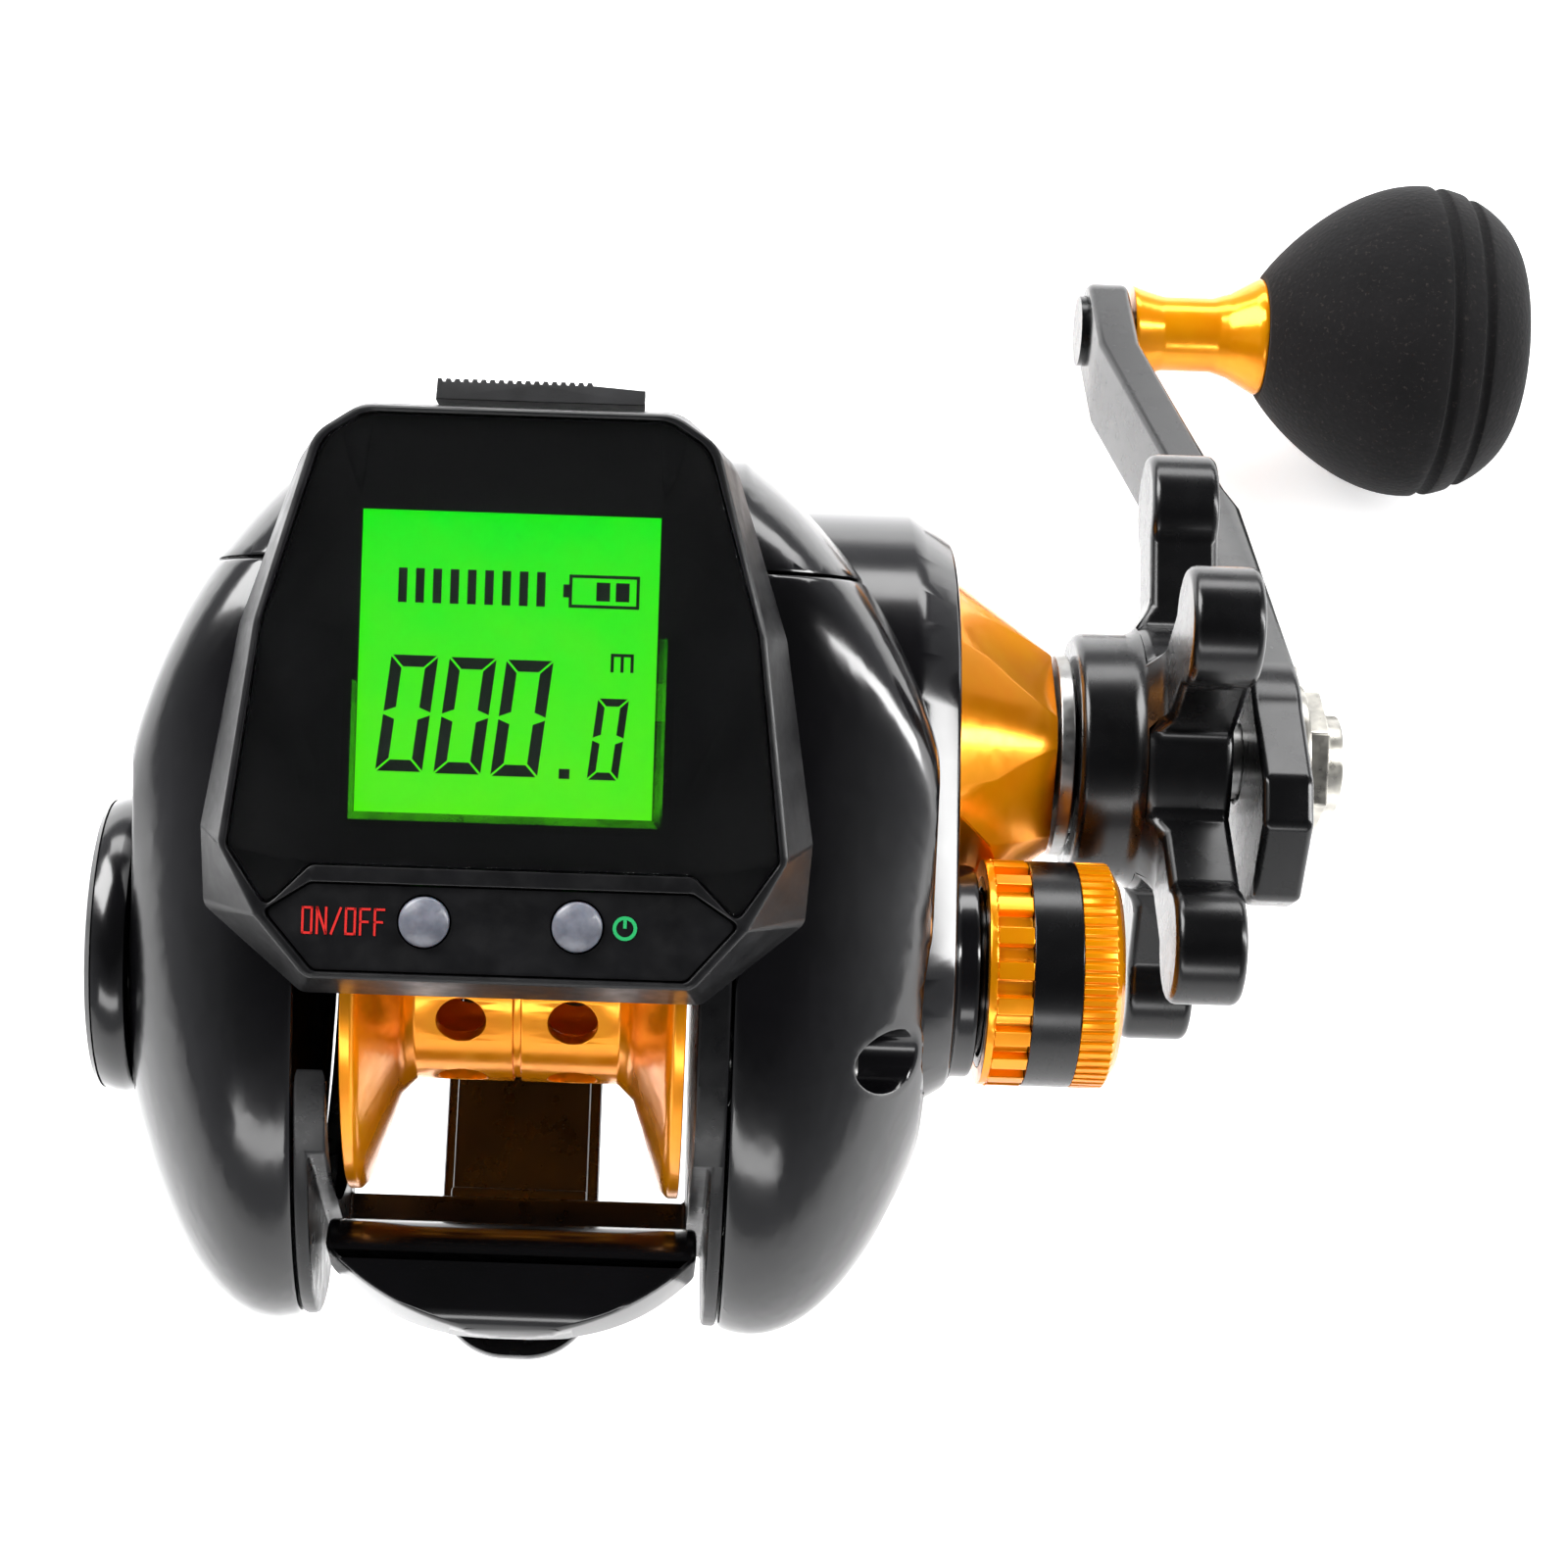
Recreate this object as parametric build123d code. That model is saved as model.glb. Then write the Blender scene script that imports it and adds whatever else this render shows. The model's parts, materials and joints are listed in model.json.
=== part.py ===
from build123d import *
import os
from math import acos, atan2, cos, degrees, hypot, pi, radians, sin, tan

# Digital baitcasting reel, in millimetres.
# X runs along the spool axis towards the handle, Y towards the rod tip, Z up.
# Pieces are drawn about the spool axis and lifted at the end, so that the
# origin lies in the middle of the underside of the reel foot.

# Shared clearances
OVERRUN = 3.0  # how far a cutter runs past the face that it cuts
SEAM = 0.15  # gap at a parting line between two fixed pieces
RUN_GAP = 0.05  # radial gap of a running shaft
MOVE_GAP = 0.35  # gap between pieces that move past each other
SCREW_GAP = 0.1  # gap round a screw in its hole

# Places of the axes
SPOOL_AXIS_HEIGHT = 24.0  # above the underside of the foot
DRIVE_Y = 19.8
DRIVE_Z = -4.0
WORM_ANGLE = 45.0  # direction from the drive axis to the worm axis

# Spool
FLANGE_R = 18.0
SPOOL_WIDTH = 24.8
FLANGE_RIM = 0.8
ARBOR_R = 9.5
ARBOR_HALF = 7.6
SPOOL_SKIN = 1.2
SPOOL_WEB = 1.6
HUB_R = 3.4
SEAM_GROOVE = 0.3
ARBOR_HOLE_R = 1.85
ARBOR_HOLE_X = 4.15
ARBOR_HOLES = 8
ARBOR_HOLE_TURN = 140.0
SHAFT_R = 1.5
CROSS_PIN_R = 0.5
CROSS_PIN_HALF = 2.9

# Body outline, seen from the side, and the domed side plates
BODY_FRONT = 36.0
BODY_REAR = 25.5
BODY_TOP = 27.0
BODY_BOTTOM = 20.0
BODY_OUTLINE_SHARES = [
    # along the front or rear reach, up the top or bottom reach
    (-1.00, -0.55),
    (-0.88, -0.78),
    (-0.33, -0.97),
    (0.33, -1.00),
    (0.78, -0.66),
    (1.00, 0.12),
    (0.93, 0.70),
    (0.66, 0.98),
    (0.22, 0.82),
    (-0.33, 0.58),
    (-0.84, 0.22),
]
SPOOL_SIDE_GAP = 0.8
WALL = 2.4
WALL_INNER_X = SPOOL_WIDTH / 2 + SPOOL_SIDE_GAP
WALL_OUTER_X = WALL_INNER_X + WALL
SHELL = 1.8
PALM_DOME = 12.9
HANDLE_DOME = 14.8
PALM_REACH = WALL_OUTER_X + PALM_DOME
HANDLE_REACH = WALL_OUTER_X + HANDLE_DOME
DOME_SHARES = [
    # reach out from the wall, front, rear, height
    (0.00, 1.00, 1.00, 1.00),
    (0.47, 0.81, 0.96, 0.94),
    (0.82, 0.60, 0.72, 0.78),
    (1.00, 0.42, 0.50, 0.62),
]
SEAM_V = 29.0  # where the front cover meets the side plates, up the display face
COVER_LOW_Z = 12.5  # lower edge of the front cover
WINDOW_TILT = 22.0  # lean of the display face back from level

# Spool bearings
BEARING_R = 4.5
BEARING_WIDTH = 3.0
BEARING_SEAT_WALL = 1.5
PALM_POST = 7.2
PALM_BEARING_X = PALM_REACH - PALM_POST
SHAFT_PROUD_LEFT = 0.7
SHAFT_PROUD_RIGHT = 1.4
SHAFT_LEFT = PALM_BEARING_X + BEARING_WIDTH + SHAFT_PROUD_LEFT

# Frame
STEM_HALF = 5.4
STEM_TOP = FLANGE_R + SPOOL_SIDE_GAP
STEM_REAR = 17.0
STEM_FRONT = 25.0
CROSS_BAR = 3.2
REAR_BAR_Y = 16.6
REAR_BAR_Z = 16.4
LOWER_BAR_Y = 22.5
LOWER_BAR_Z = 15.5
NOSE_BAR_Y = 29.5
NOSE_BAR_Z = 8.0
SPOOL_PORT_GAP = 0.6
TAIL_RECESS_Y = FLANGE_R + SPOOL_PORT_GAP
THUMB_POCKET_DEPTH = 1.3
THUMB_POCKET_X = WALL_INNER_X + THUMB_POCKET_DEPTH

# Foot
FOOT_LENGTH = 52.0
FOOT_WIDTH = 12.6
FOOT_THICK = 2.6
FOOT_TIP = 1.5
FOOT_SEAT_FRONT = 16.0
FOOT_SEAT_REAR = 14.0
FOOT_CORNER = 5.5
FOOT_SCREW_R = 1.5
FOOT_SCREW_HEAD_R = 2.6
FOOT_SCREW_Y = 9.0
FOOT_SCREW_SKIN = 0.7  # left over the end of each screw in the stem
FOOT_SCREW_TOP = SPOOL_AXIS_HEIGHT - STEM_TOP - FOOT_SCREW_SKIN

# Gears
PINION_TEETH = 11
DRIVE_TEETH = 60
WORM_DRIVE_TEETH = 31
WORM_TEETH = 15
WORM_MODULE = 0.5
PRESSURE_ANGLE = 25.0
TOOTH_TOP_SHARE = 0.8
TOOTH_ROOT_SHARE = 1.0
BACKLASH = 0.14
CENTRE_DISTANCE = hypot(DRIVE_Y, DRIVE_Z)
GEAR_MODULE = 2 * CENTRE_DISTANCE / (PINION_TEETH + DRIVE_TEETH)
DRIVE_GEAR_TIP_R = GEAR_MODULE * (DRIVE_TEETH / 2 + TOOTH_TOP_SHARE)
DRIVE_FLANGE = 1.05
WORM_DRIVE_X = WALL_OUTER_X + MOVE_GAP + DRIVE_FLANGE
WORM_GEAR_WIDTH = 2.2
GEAR_SPACER = 3.0
DRIVE_GEAR_X = WORM_DRIVE_X + WORM_GEAR_WIDTH + GEAR_SPACER
DRIVE_GEAR_WIDTH = 4.0
DRIVE_GEAR_WEB = 1.6
WORM_DISTANCE = WORM_MODULE * (WORM_DRIVE_TEETH + WORM_TEETH) / 2
WORM_Y = DRIVE_Y + WORM_DISTANCE * cos(radians(WORM_ANGLE))
WORM_Z = DRIVE_Z + WORM_DISTANCE * sin(radians(WORM_ANGLE))

# Pinion and clutch
PINION_NOSE_R = 3.4
PINION_NECK_R = 2.7
PINION_NOSE = 0.6
PINION_OVERHANG = 2.0
PINION_BORE_R = SHAFT_R + SCREW_GAP
PINION_END_X = DRIVE_GEAR_X + DRIVE_GEAR_WIDTH + PINION_OVERHANG
NOSE_TUBE_WALL = 1.5
CAM_IN_R = PINION_NOSE_R + MOVE_GAP + NOSE_TUBE_WALL + RUN_GAP
CAM_WIDE = 1.3
CAM_OUT_R = CAM_IN_R + CAM_WIDE
CAM_X = WALL_OUTER_X + MOVE_GAP
CAM_THICK = 1.2
CAM_BUMP = 0.5
CAM_BUMP_R = 0.5
YOKE_X = CAM_X + CAM_THICK + CAM_BUMP + MOVE_GAP
YOKE_THICK = 1.0
YOKE_HALF_Y = 3.9
YOKE_TRAVEL = 1.0
PINION_X = YOKE_X + YOKE_THICK + YOKE_TRAVEL + 2 * MOVE_GAP
PINION_NOSE_X = YOKE_X - MOVE_GAP - PINION_NOSE
POST_R = 0.8
POST_AT = CAM_OUT_R + MOVE_GAP + POST_R
POST_EDGE = 1.2
POST_LONG = 11.8
POST_END_X = WALL_OUTER_X + POST_LONG
POST_HEAD_R = 1.4
POST_HEAD = 0.6

# Gear housing
DRUM_WALL = 1.0
DRUM_GEAR_GAP = 0.37
DRUM_R = DRIVE_GEAR_TIP_R + DRUM_GEAR_GAP + DRUM_WALL
DRUM_SPOOL_R = 11.0
DRUM_ROOM = 6.3
DRUM_FACE_X = DRIVE_GEAR_X + DRIVE_GEAR_WIDTH + DRUM_ROOM
DRUM_FACE = 1.3
DRUM_BEVEL_X = 3.6
DRUM_BEVEL_R = 2.2
HANDLE_BEARING_X = DRUM_FACE_X - DRUM_FACE
SHAFT_RIGHT = HANDLE_BEARING_X + BEARING_WIDTH + SHAFT_PROUD_RIGHT
BOSS_R = 8.1
BOSS_LONG = 1.8
BOSS_END_X = DRUM_FACE_X + BOSS_LONG
NECK_WALL = 1.7
NECK_R = BEARING_R + NECK_WALL
NECK_LONG = 7.0
NECK_END_X = DRUM_FACE_X + NECK_LONG

# Drive shaft, its bearing and the cone over them
DRIVE_SHAFT_R = 3.0
DRIVE_SHAFT_LEFT_X = WALL_INNER_X + 4 * SCREW_GAP
SLEEVE_WALL = 1.2
SLEEVE_R = DRIVE_SHAFT_R + SLEEVE_WALL
SLEEVE_PROUD = 0.8
ROLLER_RING = 2.4
ROLLER_BEARING_WIDTH = 7.6
CONE_BORE_R = SLEEVE_R + ROLLER_RING
CONE_LONG = 8.3
CONE_END_X = DRUM_FACE_X + CONE_LONG
CONE_BASE_R = 14.0
CONE_TIP_R = 8.1
CONE_FLATS = 7
CONE_FLAT_DEPTH = 1.2
CONE_FLAT_FROM_SHARE = 0.33
CONE_SINK = 0.8
ROLLER_BEARING_X = CONE_END_X - CONE_SINK - ROLLER_BEARING_WIDTH
SLEEVE_X = ROLLER_BEARING_X - SLEEVE_PROUD
COLLAR_R = 8.0
COLLAR_THICK = 1.1
COLLAR_GAP = 0.3
COLLAR_X = CONE_END_X + COLLAR_GAP
COLLAR_END_X = COLLAR_X + COLLAR_THICK

# Star drag
STAR_HUB_R = 9.8
STAR_HUB_LONG = 6.2
STAR_HUB_X = COLLAR_END_X + COLLAR_GAP
STAR_ARM_X = STAR_HUB_X + STAR_HUB_LONG
STAR_ARM_THICK = 5.4
STAR_WEB = 1.6
STAR_REACH = 25.0
STAR_LOBES = 5
STAR_FIRST_LOBE = 11.5
STAR_TIP_R = 4.5
STAR_WAIST = 6.6
STAR_ROOT_R = 10.5
STAR_BORE_R = DRIVE_SHAFT_R + SCREW_GAP
SPRING_POCKET_R = 6.5
SPRING_POCKET_DEPTH = 2.6
WASHER_R = 12.0
WASHER_THICK = 0.8
WASHERS = 3

# Handle
ARM_LENGTH = 72.6
ARM_ANGLE = -32.5
ARM_TAIL = 13.5
ARM_HUB_R = 8.6
ARM_EYE_R = 4.6
ARM_NECK = 4.2
ARM_TAIL_HALF = 6.2
ARM_TAIL_CORNER = 2.6
ARM_THICK = 3.9
ARM_STAR_GAP = 1.9
ARM_CRANK = 5.5
ARM_BEND_FROM = 32.0
ARM_BEND_TO = 62.0
ARM_HUB_OUT_X = STAR_ARM_X + STAR_ARM_THICK + ARM_STAR_GAP + ARM_THICK
ARM_TIP_OUT_X = ARM_HUB_OUT_X - ARM_CRANK
DRIVE_SHAFT_PROUD = 1.6
DRIVE_SHAFT_END_X = ARM_HUB_OUT_X + DRIVE_SHAFT_PROUD
NUT_FLATS = 10.0
NUT_HEIGHT = 2.6
NUT_DOME_R = 3.9
NUT_DOME_HEIGHT = 1.4
RETAINER_THICK = 1.0
RETAINER_WIDTH = 12.6
RETAINER_SCREW_R = 1.2
RETAINER_SCREW_AT = 9.6
RETAINER_SCREW_HEAD = 1.1

# Knob, turned about its own axis
KNOB_Y = DRIVE_Y + ARM_LENGTH * cos(radians(ARM_ANGLE))
KNOB_Z = DRIVE_Z + ARM_LENGTH * sin(radians(ARM_ANGLE))
SPINDLE_R = 2.2
SPINDLE_HEAD_R = 3.4
SPINDLE_HEAD = 0.7
KNOB_GAP_X = 0.5
COLLAR_STEM_R = 3.6
COLLAR_LIP_R = 4.6
KNOB_FLARE_R = 5.6
KNOB_COLLAR_LONG = 12.7
KNOB_COLLAR_X = ARM_TIP_OUT_X + KNOB_GAP_X
KNOB_COLLAR_END_X = KNOB_COLLAR_X + KNOB_COLLAR_LONG
COLLAR_SHARES = [
    # along the collar, from the stem's radius to the lip's
    (0.00, 1.0),
    (0.12, 0.5),
    (0.25, 0.0),
    (0.62, 0.0),
    (0.75, 0.5),
]
KNOB_LONG = 24.4
KNOB_FOAM_END_X = KNOB_COLLAR_END_X + KNOB_LONG
KNOB_R = 15.0
KNOB_NOSE_R = 6.0
KNOB_SHARES = [
    # along the foam, out to its greatest radius
    (0.22, 0.76),
    (0.62, 1.00),
    (0.91, 0.80),
]
KNOB_GROOVE = 0.6
KNOB_GROOVE_SHARES = [(0.655, 0.999), (0.785, 0.944)]
KNOB_BEARING_RING = 1.15
KNOB_CORE_WALL = 1.2
KNOB_CORE_IN_R = SPINDLE_R + RUN_GAP + KNOB_BEARING_RING
KNOB_CORE_R = KNOB_CORE_IN_R + KNOB_CORE_WALL
KNOB_CAP_R = 5.0
KNOB_CAP_THICK = 1.4
KNOB_BEARING_WIDTH = 2.5
SPINDLE_SHORT = 7.0
SPINDLE_END_X = KNOB_FOAM_END_X - SPINDLE_SHORT

# Cast control knob
CAST_GAP = 0.6
CAST_RING_LONG = 3.3
CAST_BAND_LONG = 3.7
CAST_RIM_LONG = 2.4
CAST_DOME = 0.8
CAST_SKIRT_X = BOSS_END_X + CAST_GAP
CAST_RING_END_X = CAST_SKIRT_X + CAST_RING_LONG
CAST_RIM_X = CAST_RING_END_X + CAST_BAND_LONG
CAST_END_X = CAST_RIM_X + CAST_RIM_LONG
CAST_DOME_X = CAST_END_X + CAST_DOME
CAST_SKIRT_WALL = 0.8
CAST_RING_WALL = 0.6
CAST_TOOTH = 0.7
CAST_BORE_R = NECK_R + 2 * SEAM
CAST_CORE_R = CAST_BORE_R + CAST_SKIRT_WALL
CAST_RING_ROOT_R = CAST_CORE_R + CAST_RING_WALL
CAST_R = CAST_RING_ROOT_R + CAST_TOOTH
CAST_TEETH = 20
CAST_RIM_GROOVES = 60
CAST_RIM_GROOVE_R = 0.22
CAST_FLANGE = 0.6
PAD_R = 4.5
PAD_THICK = 1.6

# Brake dial on the palm side
DIAL_R = 11.25
DIAL_THICK = 3.4
DIAL_X = PALM_REACH + SEAM
DIAL_END_X = DIAL_X + DIAL_THICK
DIAL_EDGE = 0.9
DIAL_PIN_R = 1.0
DIAL_PIN_AT = 8.8
DIAL_SLOT = 150.0
DIAL_DISH_R = 8.4
DIAL_DISH = 0.7
SPIGOT_R = 6.4
SPIGOT_LONG = 1.8
SPIGOT_END_X = PALM_REACH + SPIGOT_LONG
MAGNET_RING_THICK = 2.4
MAGNET_RING_OUT_R = 11.8
MAGNET_RING_IN_R = BEARING_R + BEARING_SEAT_WALL + MOVE_GAP
MAGNET_R = 1.9
MAGNET_DEPTH = 1.6
MAGNETS = 6

# Level wind
WORM_R = 2.6
WORM_JOURNAL_R = 1.6
WORM_GROOVE = 1.2
WORM_GROOVE_DEPTH = 0.7
WORM_GROOVE_END = 1.6
WORM_STEPS = 16
WORM_OVERLAP_SHARE = 1.1
WORM_LEAD = 6.4
WORM_SHORT = 2.0
WORM_HALF = WALL_INNER_X - WORM_SHORT
GUIDE_FORWARD = 3.9
GUIDE_ROD_R = 1.0
GUIDE_ROD_FORWARD = 5.1
GUIDE_ROD_DROP = 7.7
GUIDE_ROD_Y = WORM_Y + GUIDE_ROD_FORWARD
GUIDE_ROD_Z = WORM_Z - GUIDE_ROD_DROP
GUIDE_HALF = 3.4
GUIDE_SLEEVE_WALL = 1.1
GUIDE_PLATE_Y = WORM_Y + GUIDE_FORWARD
GUIDE_PLATE_THICK = 1.8
GUIDE_TOP_GAP = 0.9
GUIDE_TOP_Z = COVER_LOW_Z - GUIDE_TOP_GAP
GUIDE_SLOT_HALF = 1.7
GUIDE_SLOT_HIGH = 6.8
GUIDE_BRIDGE = 1.4
GUIDE_SLOT_TOP_Z = GUIDE_TOP_Z - GUIDE_BRIDGE
GUIDE_SLOT_LOW_Z = GUIDE_SLOT_TOP_Z - GUIDE_SLOT_HIGH
GUIDE_INSERT_WALL = 0.5
PAWL_R = 1.6

# Thumb bar
THUMB_SIDE_GAP = 0.55
THUMB_HALF = THUMB_POCKET_X - THUMB_SIDE_GAP
THUMB_Y = 23.5
THUMB_Z = 7.4
THUMB_R = 4.3
THUMB_DEEP = 6.0
THUMB_ROUND = 2.6
THUMB_LEAN = 20.0
THUMB_BOW = 5.6

# Display, drawn on its face: across, up the face, out of the face
DISPLAY_X = -0.8
FACE_W = 25.0
CASE_HALF = 21.7
CASE_LONG = 39.9
CASE_BASE_SHARES = [
    (0.530, 1.000),
    (0.710, 0.907),
    (0.894, 0.602),
    (1.000, 0.241),
    (0.982, 0.100),
    (0.654, -0.050),
]
CASE_RIM_SHARES = [
    (0.502, 0.980),
    (0.645, 0.930),
    (0.816, 0.602),
    (0.908, 0.213),
    (0.783, 0.090),
    (0.618, -0.015),
]
WINDOW_SHARES = [
    (0.484, 0.965),
    (0.613, 0.920),
    (0.788, 0.602),
    (0.876, 0.211),
    (0.751, 0.110),
    (0.613, 0.185),
]
PANEL_SHARES = [
    (0.608, 0.148),
    (0.751, 0.098),
    (0.594, 0.000),
]
CASE_WALL = 1.3
WINDOW_THICK = 1.0
PANEL_THICK = 1.2
PANEL_DROP = 0.4
MASK_THICK = 0.6
MASK_MARGIN = 0.5
LCD_UP_SHARE = 0.539  # of the case's length
LCD_WIDE_SHARE = 0.95  # of the case's half width
LCD_HIGH_SHARE = 0.524
LCD_CENTRE_V = LCD_UP_SHARE * CASE_LONG
LCD_WIDE = LCD_WIDE_SHARE * CASE_HALF
LCD_HIGH = LCD_HIGH_SHARE * CASE_LONG
LCD_THICK = 1.8
LCD_MARGIN = 1.2
BOARD_ROOM = 0.9
BOARD_THICK = 0.8
LID_THICK = 0.9
CASE_W = FACE_W - WINDOW_THICK - MASK_THICK - LCD_THICK - BOARD_ROOM - BOARD_THICK - LID_THICK
BUTTON_R = 1.75
BUTTON_ACROSS_SHARE = 0.244
BUTTON_UP_SHARE = 0.0877
BUTTON_ACROSS = BUTTON_ACROSS_SHARE * CASE_HALF
BUTTON_V = BUTTON_UP_SHARE * CASE_LONG
BUTTON_PROUD = 0.9
BUTTON_TRAVEL = 0.4
BUTTON_FLANGE_R = 2.4
BUTTON_FLANGE = 0.5
SWITCH_SIZE = 3.0

# Lower half of the display case and what it holds
TRAY_DEEP = 5.8
TRAY_W = CASE_W - TRAY_DEEP
TRAY_V = 15.5
TRAY_SHORT = 0.7
TRAY_FRONT_V = CASE_LONG - TRAY_SHORT
TRAY_HALF = 12.0
TRAY_WALL = 1.2
BOARD_W = CASE_W + LID_THICK
BATTERY_LONG = 15.0
BATTERY_WIDE = 20.0
BATTERY_THICK = 3.8
PORT_WIDE = 9.0
PORT_HIGH = 3.2
PORT_DEEP = 6.0
PORT_SHIFT = 1.4
PORT_COVER_WIDE = 14.8
PORT_COVER_THICK = 1.6
PORT_COVER_HIGH = 6.4
PORT_COVER_LOW_W = TRAY_W + 2 * SCREW_GAP
PORT_COVER_TOP_W = PORT_COVER_LOW_W + PORT_COVER_HIGH
PORT_RIBS = 12
PORT_RIB_DEPTH = 0.4
SENSOR_WIDE = 5.0
SENSOR_HIGH = 3.0
SENSOR_THICK = 1.2
SENSOR_ACROSS = 4.4

# Side plate screws
SCREW_R = 1.1
SCREW_HEAD_R = 2.0
SCREW_HEAD = 1.3
SCREW_SLOT = 0.5
SCREW_POST_R = 3.0
SCREW_LONG = 8.0
SCREW_SEAT_X = WALL_OUTER_X + SCREW_LONG
SCREW_WELL_R = SCREW_HEAD_R + 3 * SCREW_GAP
REAR_SCREW_Y = -16.6
REAR_SCREW_Z = -6.4
UPPER_SCREW_Y = -10.4
UPPER_SCREW_Z = 9.6
SCREW_PLACES = [(REAR_SCREW_Y, REAR_SCREW_Z), (UPPER_SCREW_Y, UPPER_SCREW_Z)]

# Planes of the display face and of the front cover's seam
FACE = Plane(
    origin=(DISPLAY_X, 0, 0),
    x_dir=(1, 0, 0),
    z_dir=(0, -sin(radians(WINDOW_TILT)), cos(radians(WINDOW_TILT))),
)
COVER_PLANE = Plane(
    origin=(0, SEAM_V * cos(radians(WINDOW_TILT)), SEAM_V * sin(radians(WINDOW_TILT))),
    x_dir=(1, 0, 0),
    z_dir=(0, cos(radians(WINDOW_TILT)), sin(radians(WINDOW_TILT))),
)


def bar(x0, x1, radius, y=0.0, z=0.0):
    """Solid round bar along X."""
    turn = Rot(0, 90, 0)
    return Pos(x0, y, z) * turn * Cylinder(radius, x1 - x0, align=(Align.CENTER, Align.CENTER, Align.MIN))


def tube(x0, x1, outer, inner, y=0.0, z=0.0):
    """Round tube along X."""
    return bar(x0, x1, outer, y, z) - bar(x0 - OVERRUN, x1 + OVERRUN, inner, y, z)


def turned(points, y=0.0, z=0.0):
    """Body turned about an axis along X, from points of (x, radius)."""
    outline = make_face(Polyline(*points, close=True))
    return Pos(0, y, z) * revolve(outline, Axis.X)


def slab(x0, x1, sketch):
    """Flat plate square to X, from a sketch of (y, z)."""
    return extrude(Plane.YZ.offset(x0) * sketch, x1 - x0)


def block(x0, x1, y0, y1, z0, z1):
    """Box between two corners."""
    middle = Pos((x0 + x1) / 2, (y0 + y1) / 2, (z0 + z1) / 2)
    return middle * Box(abs(x1 - x0), abs(y1 - y0), abs(z1 - z0))


def polygon(points):
    """Flat sketch through the points."""
    return make_face(Polyline(*points, close=True))


def mirrored(points):
    """Closed outline from its right half, top to bottom."""
    return list(points) + [(-x, v) for x, v in reversed(points)]


def on_face(sketch, w):
    """Sketch of (across, up) laid at a height over the display datum."""
    return FACE.offset(w) * sketch


def face_block(across, v0, v1, w0, w1, shift=0.0):
    """Box on the display face, centred across."""
    sketch = Pos(shift, (v0 + v1) / 2) * Rectangle(across, abs(v1 - v0))
    return extrude(on_face(sketch, w0), w1 - w0)


def around(count, piece):
    """Copies of a piece turned about the spool axis."""
    return [Rot(360 / count * index, 0, 0) * piece for index in range(count)]


def involute(angle):
    return tan(angle) - angle


def gear_outline(teeth, module, turn):
    """Outline of a spur gear with its first tooth at the given angle."""
    pressure = radians(PRESSURE_ANGLE)
    pitch_r = module * teeth / 2
    base_r = pitch_r * cos(pressure)
    tip_r = pitch_r + TOOTH_TOP_SHARE * module
    root_r = pitch_r - TOOTH_ROOT_SHARE * module
    half_tooth = (pi * module / 2 - BACKLASH) / (2 * pitch_r)
    flank = [root_r, max(base_r, root_r), pitch_r, tip_r]

    def half_angle(radius):
        if radius <= base_r:
            return half_tooth + involute(pressure)
        return half_tooth + involute(pressure) - involute(acos(base_r / radius))

    points = []
    for tooth in range(teeth):
        middle = radians(turn) + 2 * pi * tooth / teeth
        rising = [(radius, middle - half_angle(radius)) for radius in sorted(set(flank))]
        falling = [(radius, middle + half_angle(radius)) for radius in sorted(set(flank), reverse=True)]
        points += [(radius * cos(angle), radius * sin(angle)) for radius, angle in rising + falling]
    return polygon(points)


def gear(teeth, module, turn, x0, width, y, z):
    """Spur gear blank, still without a bore."""
    return Pos(0, y, z) * slab(x0, x0 + width, gear_outline(teeth, module, turn))


def body_outline(front, rear, top, bottom):
    """Smooth closed outline of the reel seen from the side."""
    points = []
    for along, up in BODY_OUTLINE_SHARES:
        y = along * (front if along > 0 else rear)
        z = up * (top if up > 0 else bottom)
        points.append((y, z))
    return make_face(Spline(*points, periodic=True))


def body_slab(x0, x1, inset=0.0):
    """Slice of the body between two planes."""
    outline = body_outline(BODY_FRONT - inset, BODY_REAR - inset, BODY_TOP - inset, BODY_BOTTOM - inset)
    return slab(x0, x1, outline)


def dome(reach, inset=0.0):
    """Domed side of the body, drawn towards +X."""
    sections = []
    for out, front, rear, height in DOME_SHARES:
        x = WALL_OUTER_X + out * (reach - inset - WALL_OUTER_X)
        outline = body_outline(
            front * BODY_FRONT - inset,
            rear * BODY_REAR - inset,
            height * BODY_TOP - inset,
            height * BODY_BOTTOM - inset,
        )
        sections.append(Plane.YZ.offset(x) * outline)
    return loft(sections)


def to_palm_side(shape):
    return mirror(shape, Plane.YZ)


def drum_profile(inset=0.0):
    """Two rounds, about the drive axis and the spool axis, with tangents between."""
    big = DRUM_R - inset
    small = DRUM_SPOOL_R - inset
    along = atan2(-DRIVE_Z, -DRIVE_Y)
    lean = acos((big - small) / CENTRE_DISTANCE)
    big_a = (DRIVE_Y + big * cos(along + lean), DRIVE_Z + big * sin(along + lean))
    big_b = (DRIVE_Y + big * cos(along - lean), DRIVE_Z + big * sin(along - lean))
    small_a = (small * cos(along + lean), small * sin(along + lean))
    small_b = (small * cos(along - lean), small * sin(along - lean))
    far = (DRIVE_Y - big * cos(along), DRIVE_Z - big * sin(along))
    near = (small * cos(along), small * sin(along))
    edges = [
        ThreePointArc(big_a, far, big_b),
        Line(big_b, small_b),
        ThreePointArc(small_b, near, small_a),
        Line(small_a, big_a),
    ]
    return make_face(edges)


def drum_envelope():
    """Outside of the gear housing, with its broad bevel."""
    bevel_x = DRUM_FACE_X - DRUM_BEVEL_X
    low = Plane.YZ.offset(bevel_x) * drum_profile()
    high = Plane.YZ.offset(DRUM_FACE_X) * drum_profile(DRUM_BEVEL_R)
    return slab(WALL_OUTER_X, bevel_x, drum_profile()) + loft([low, high], ruled=True)


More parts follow.
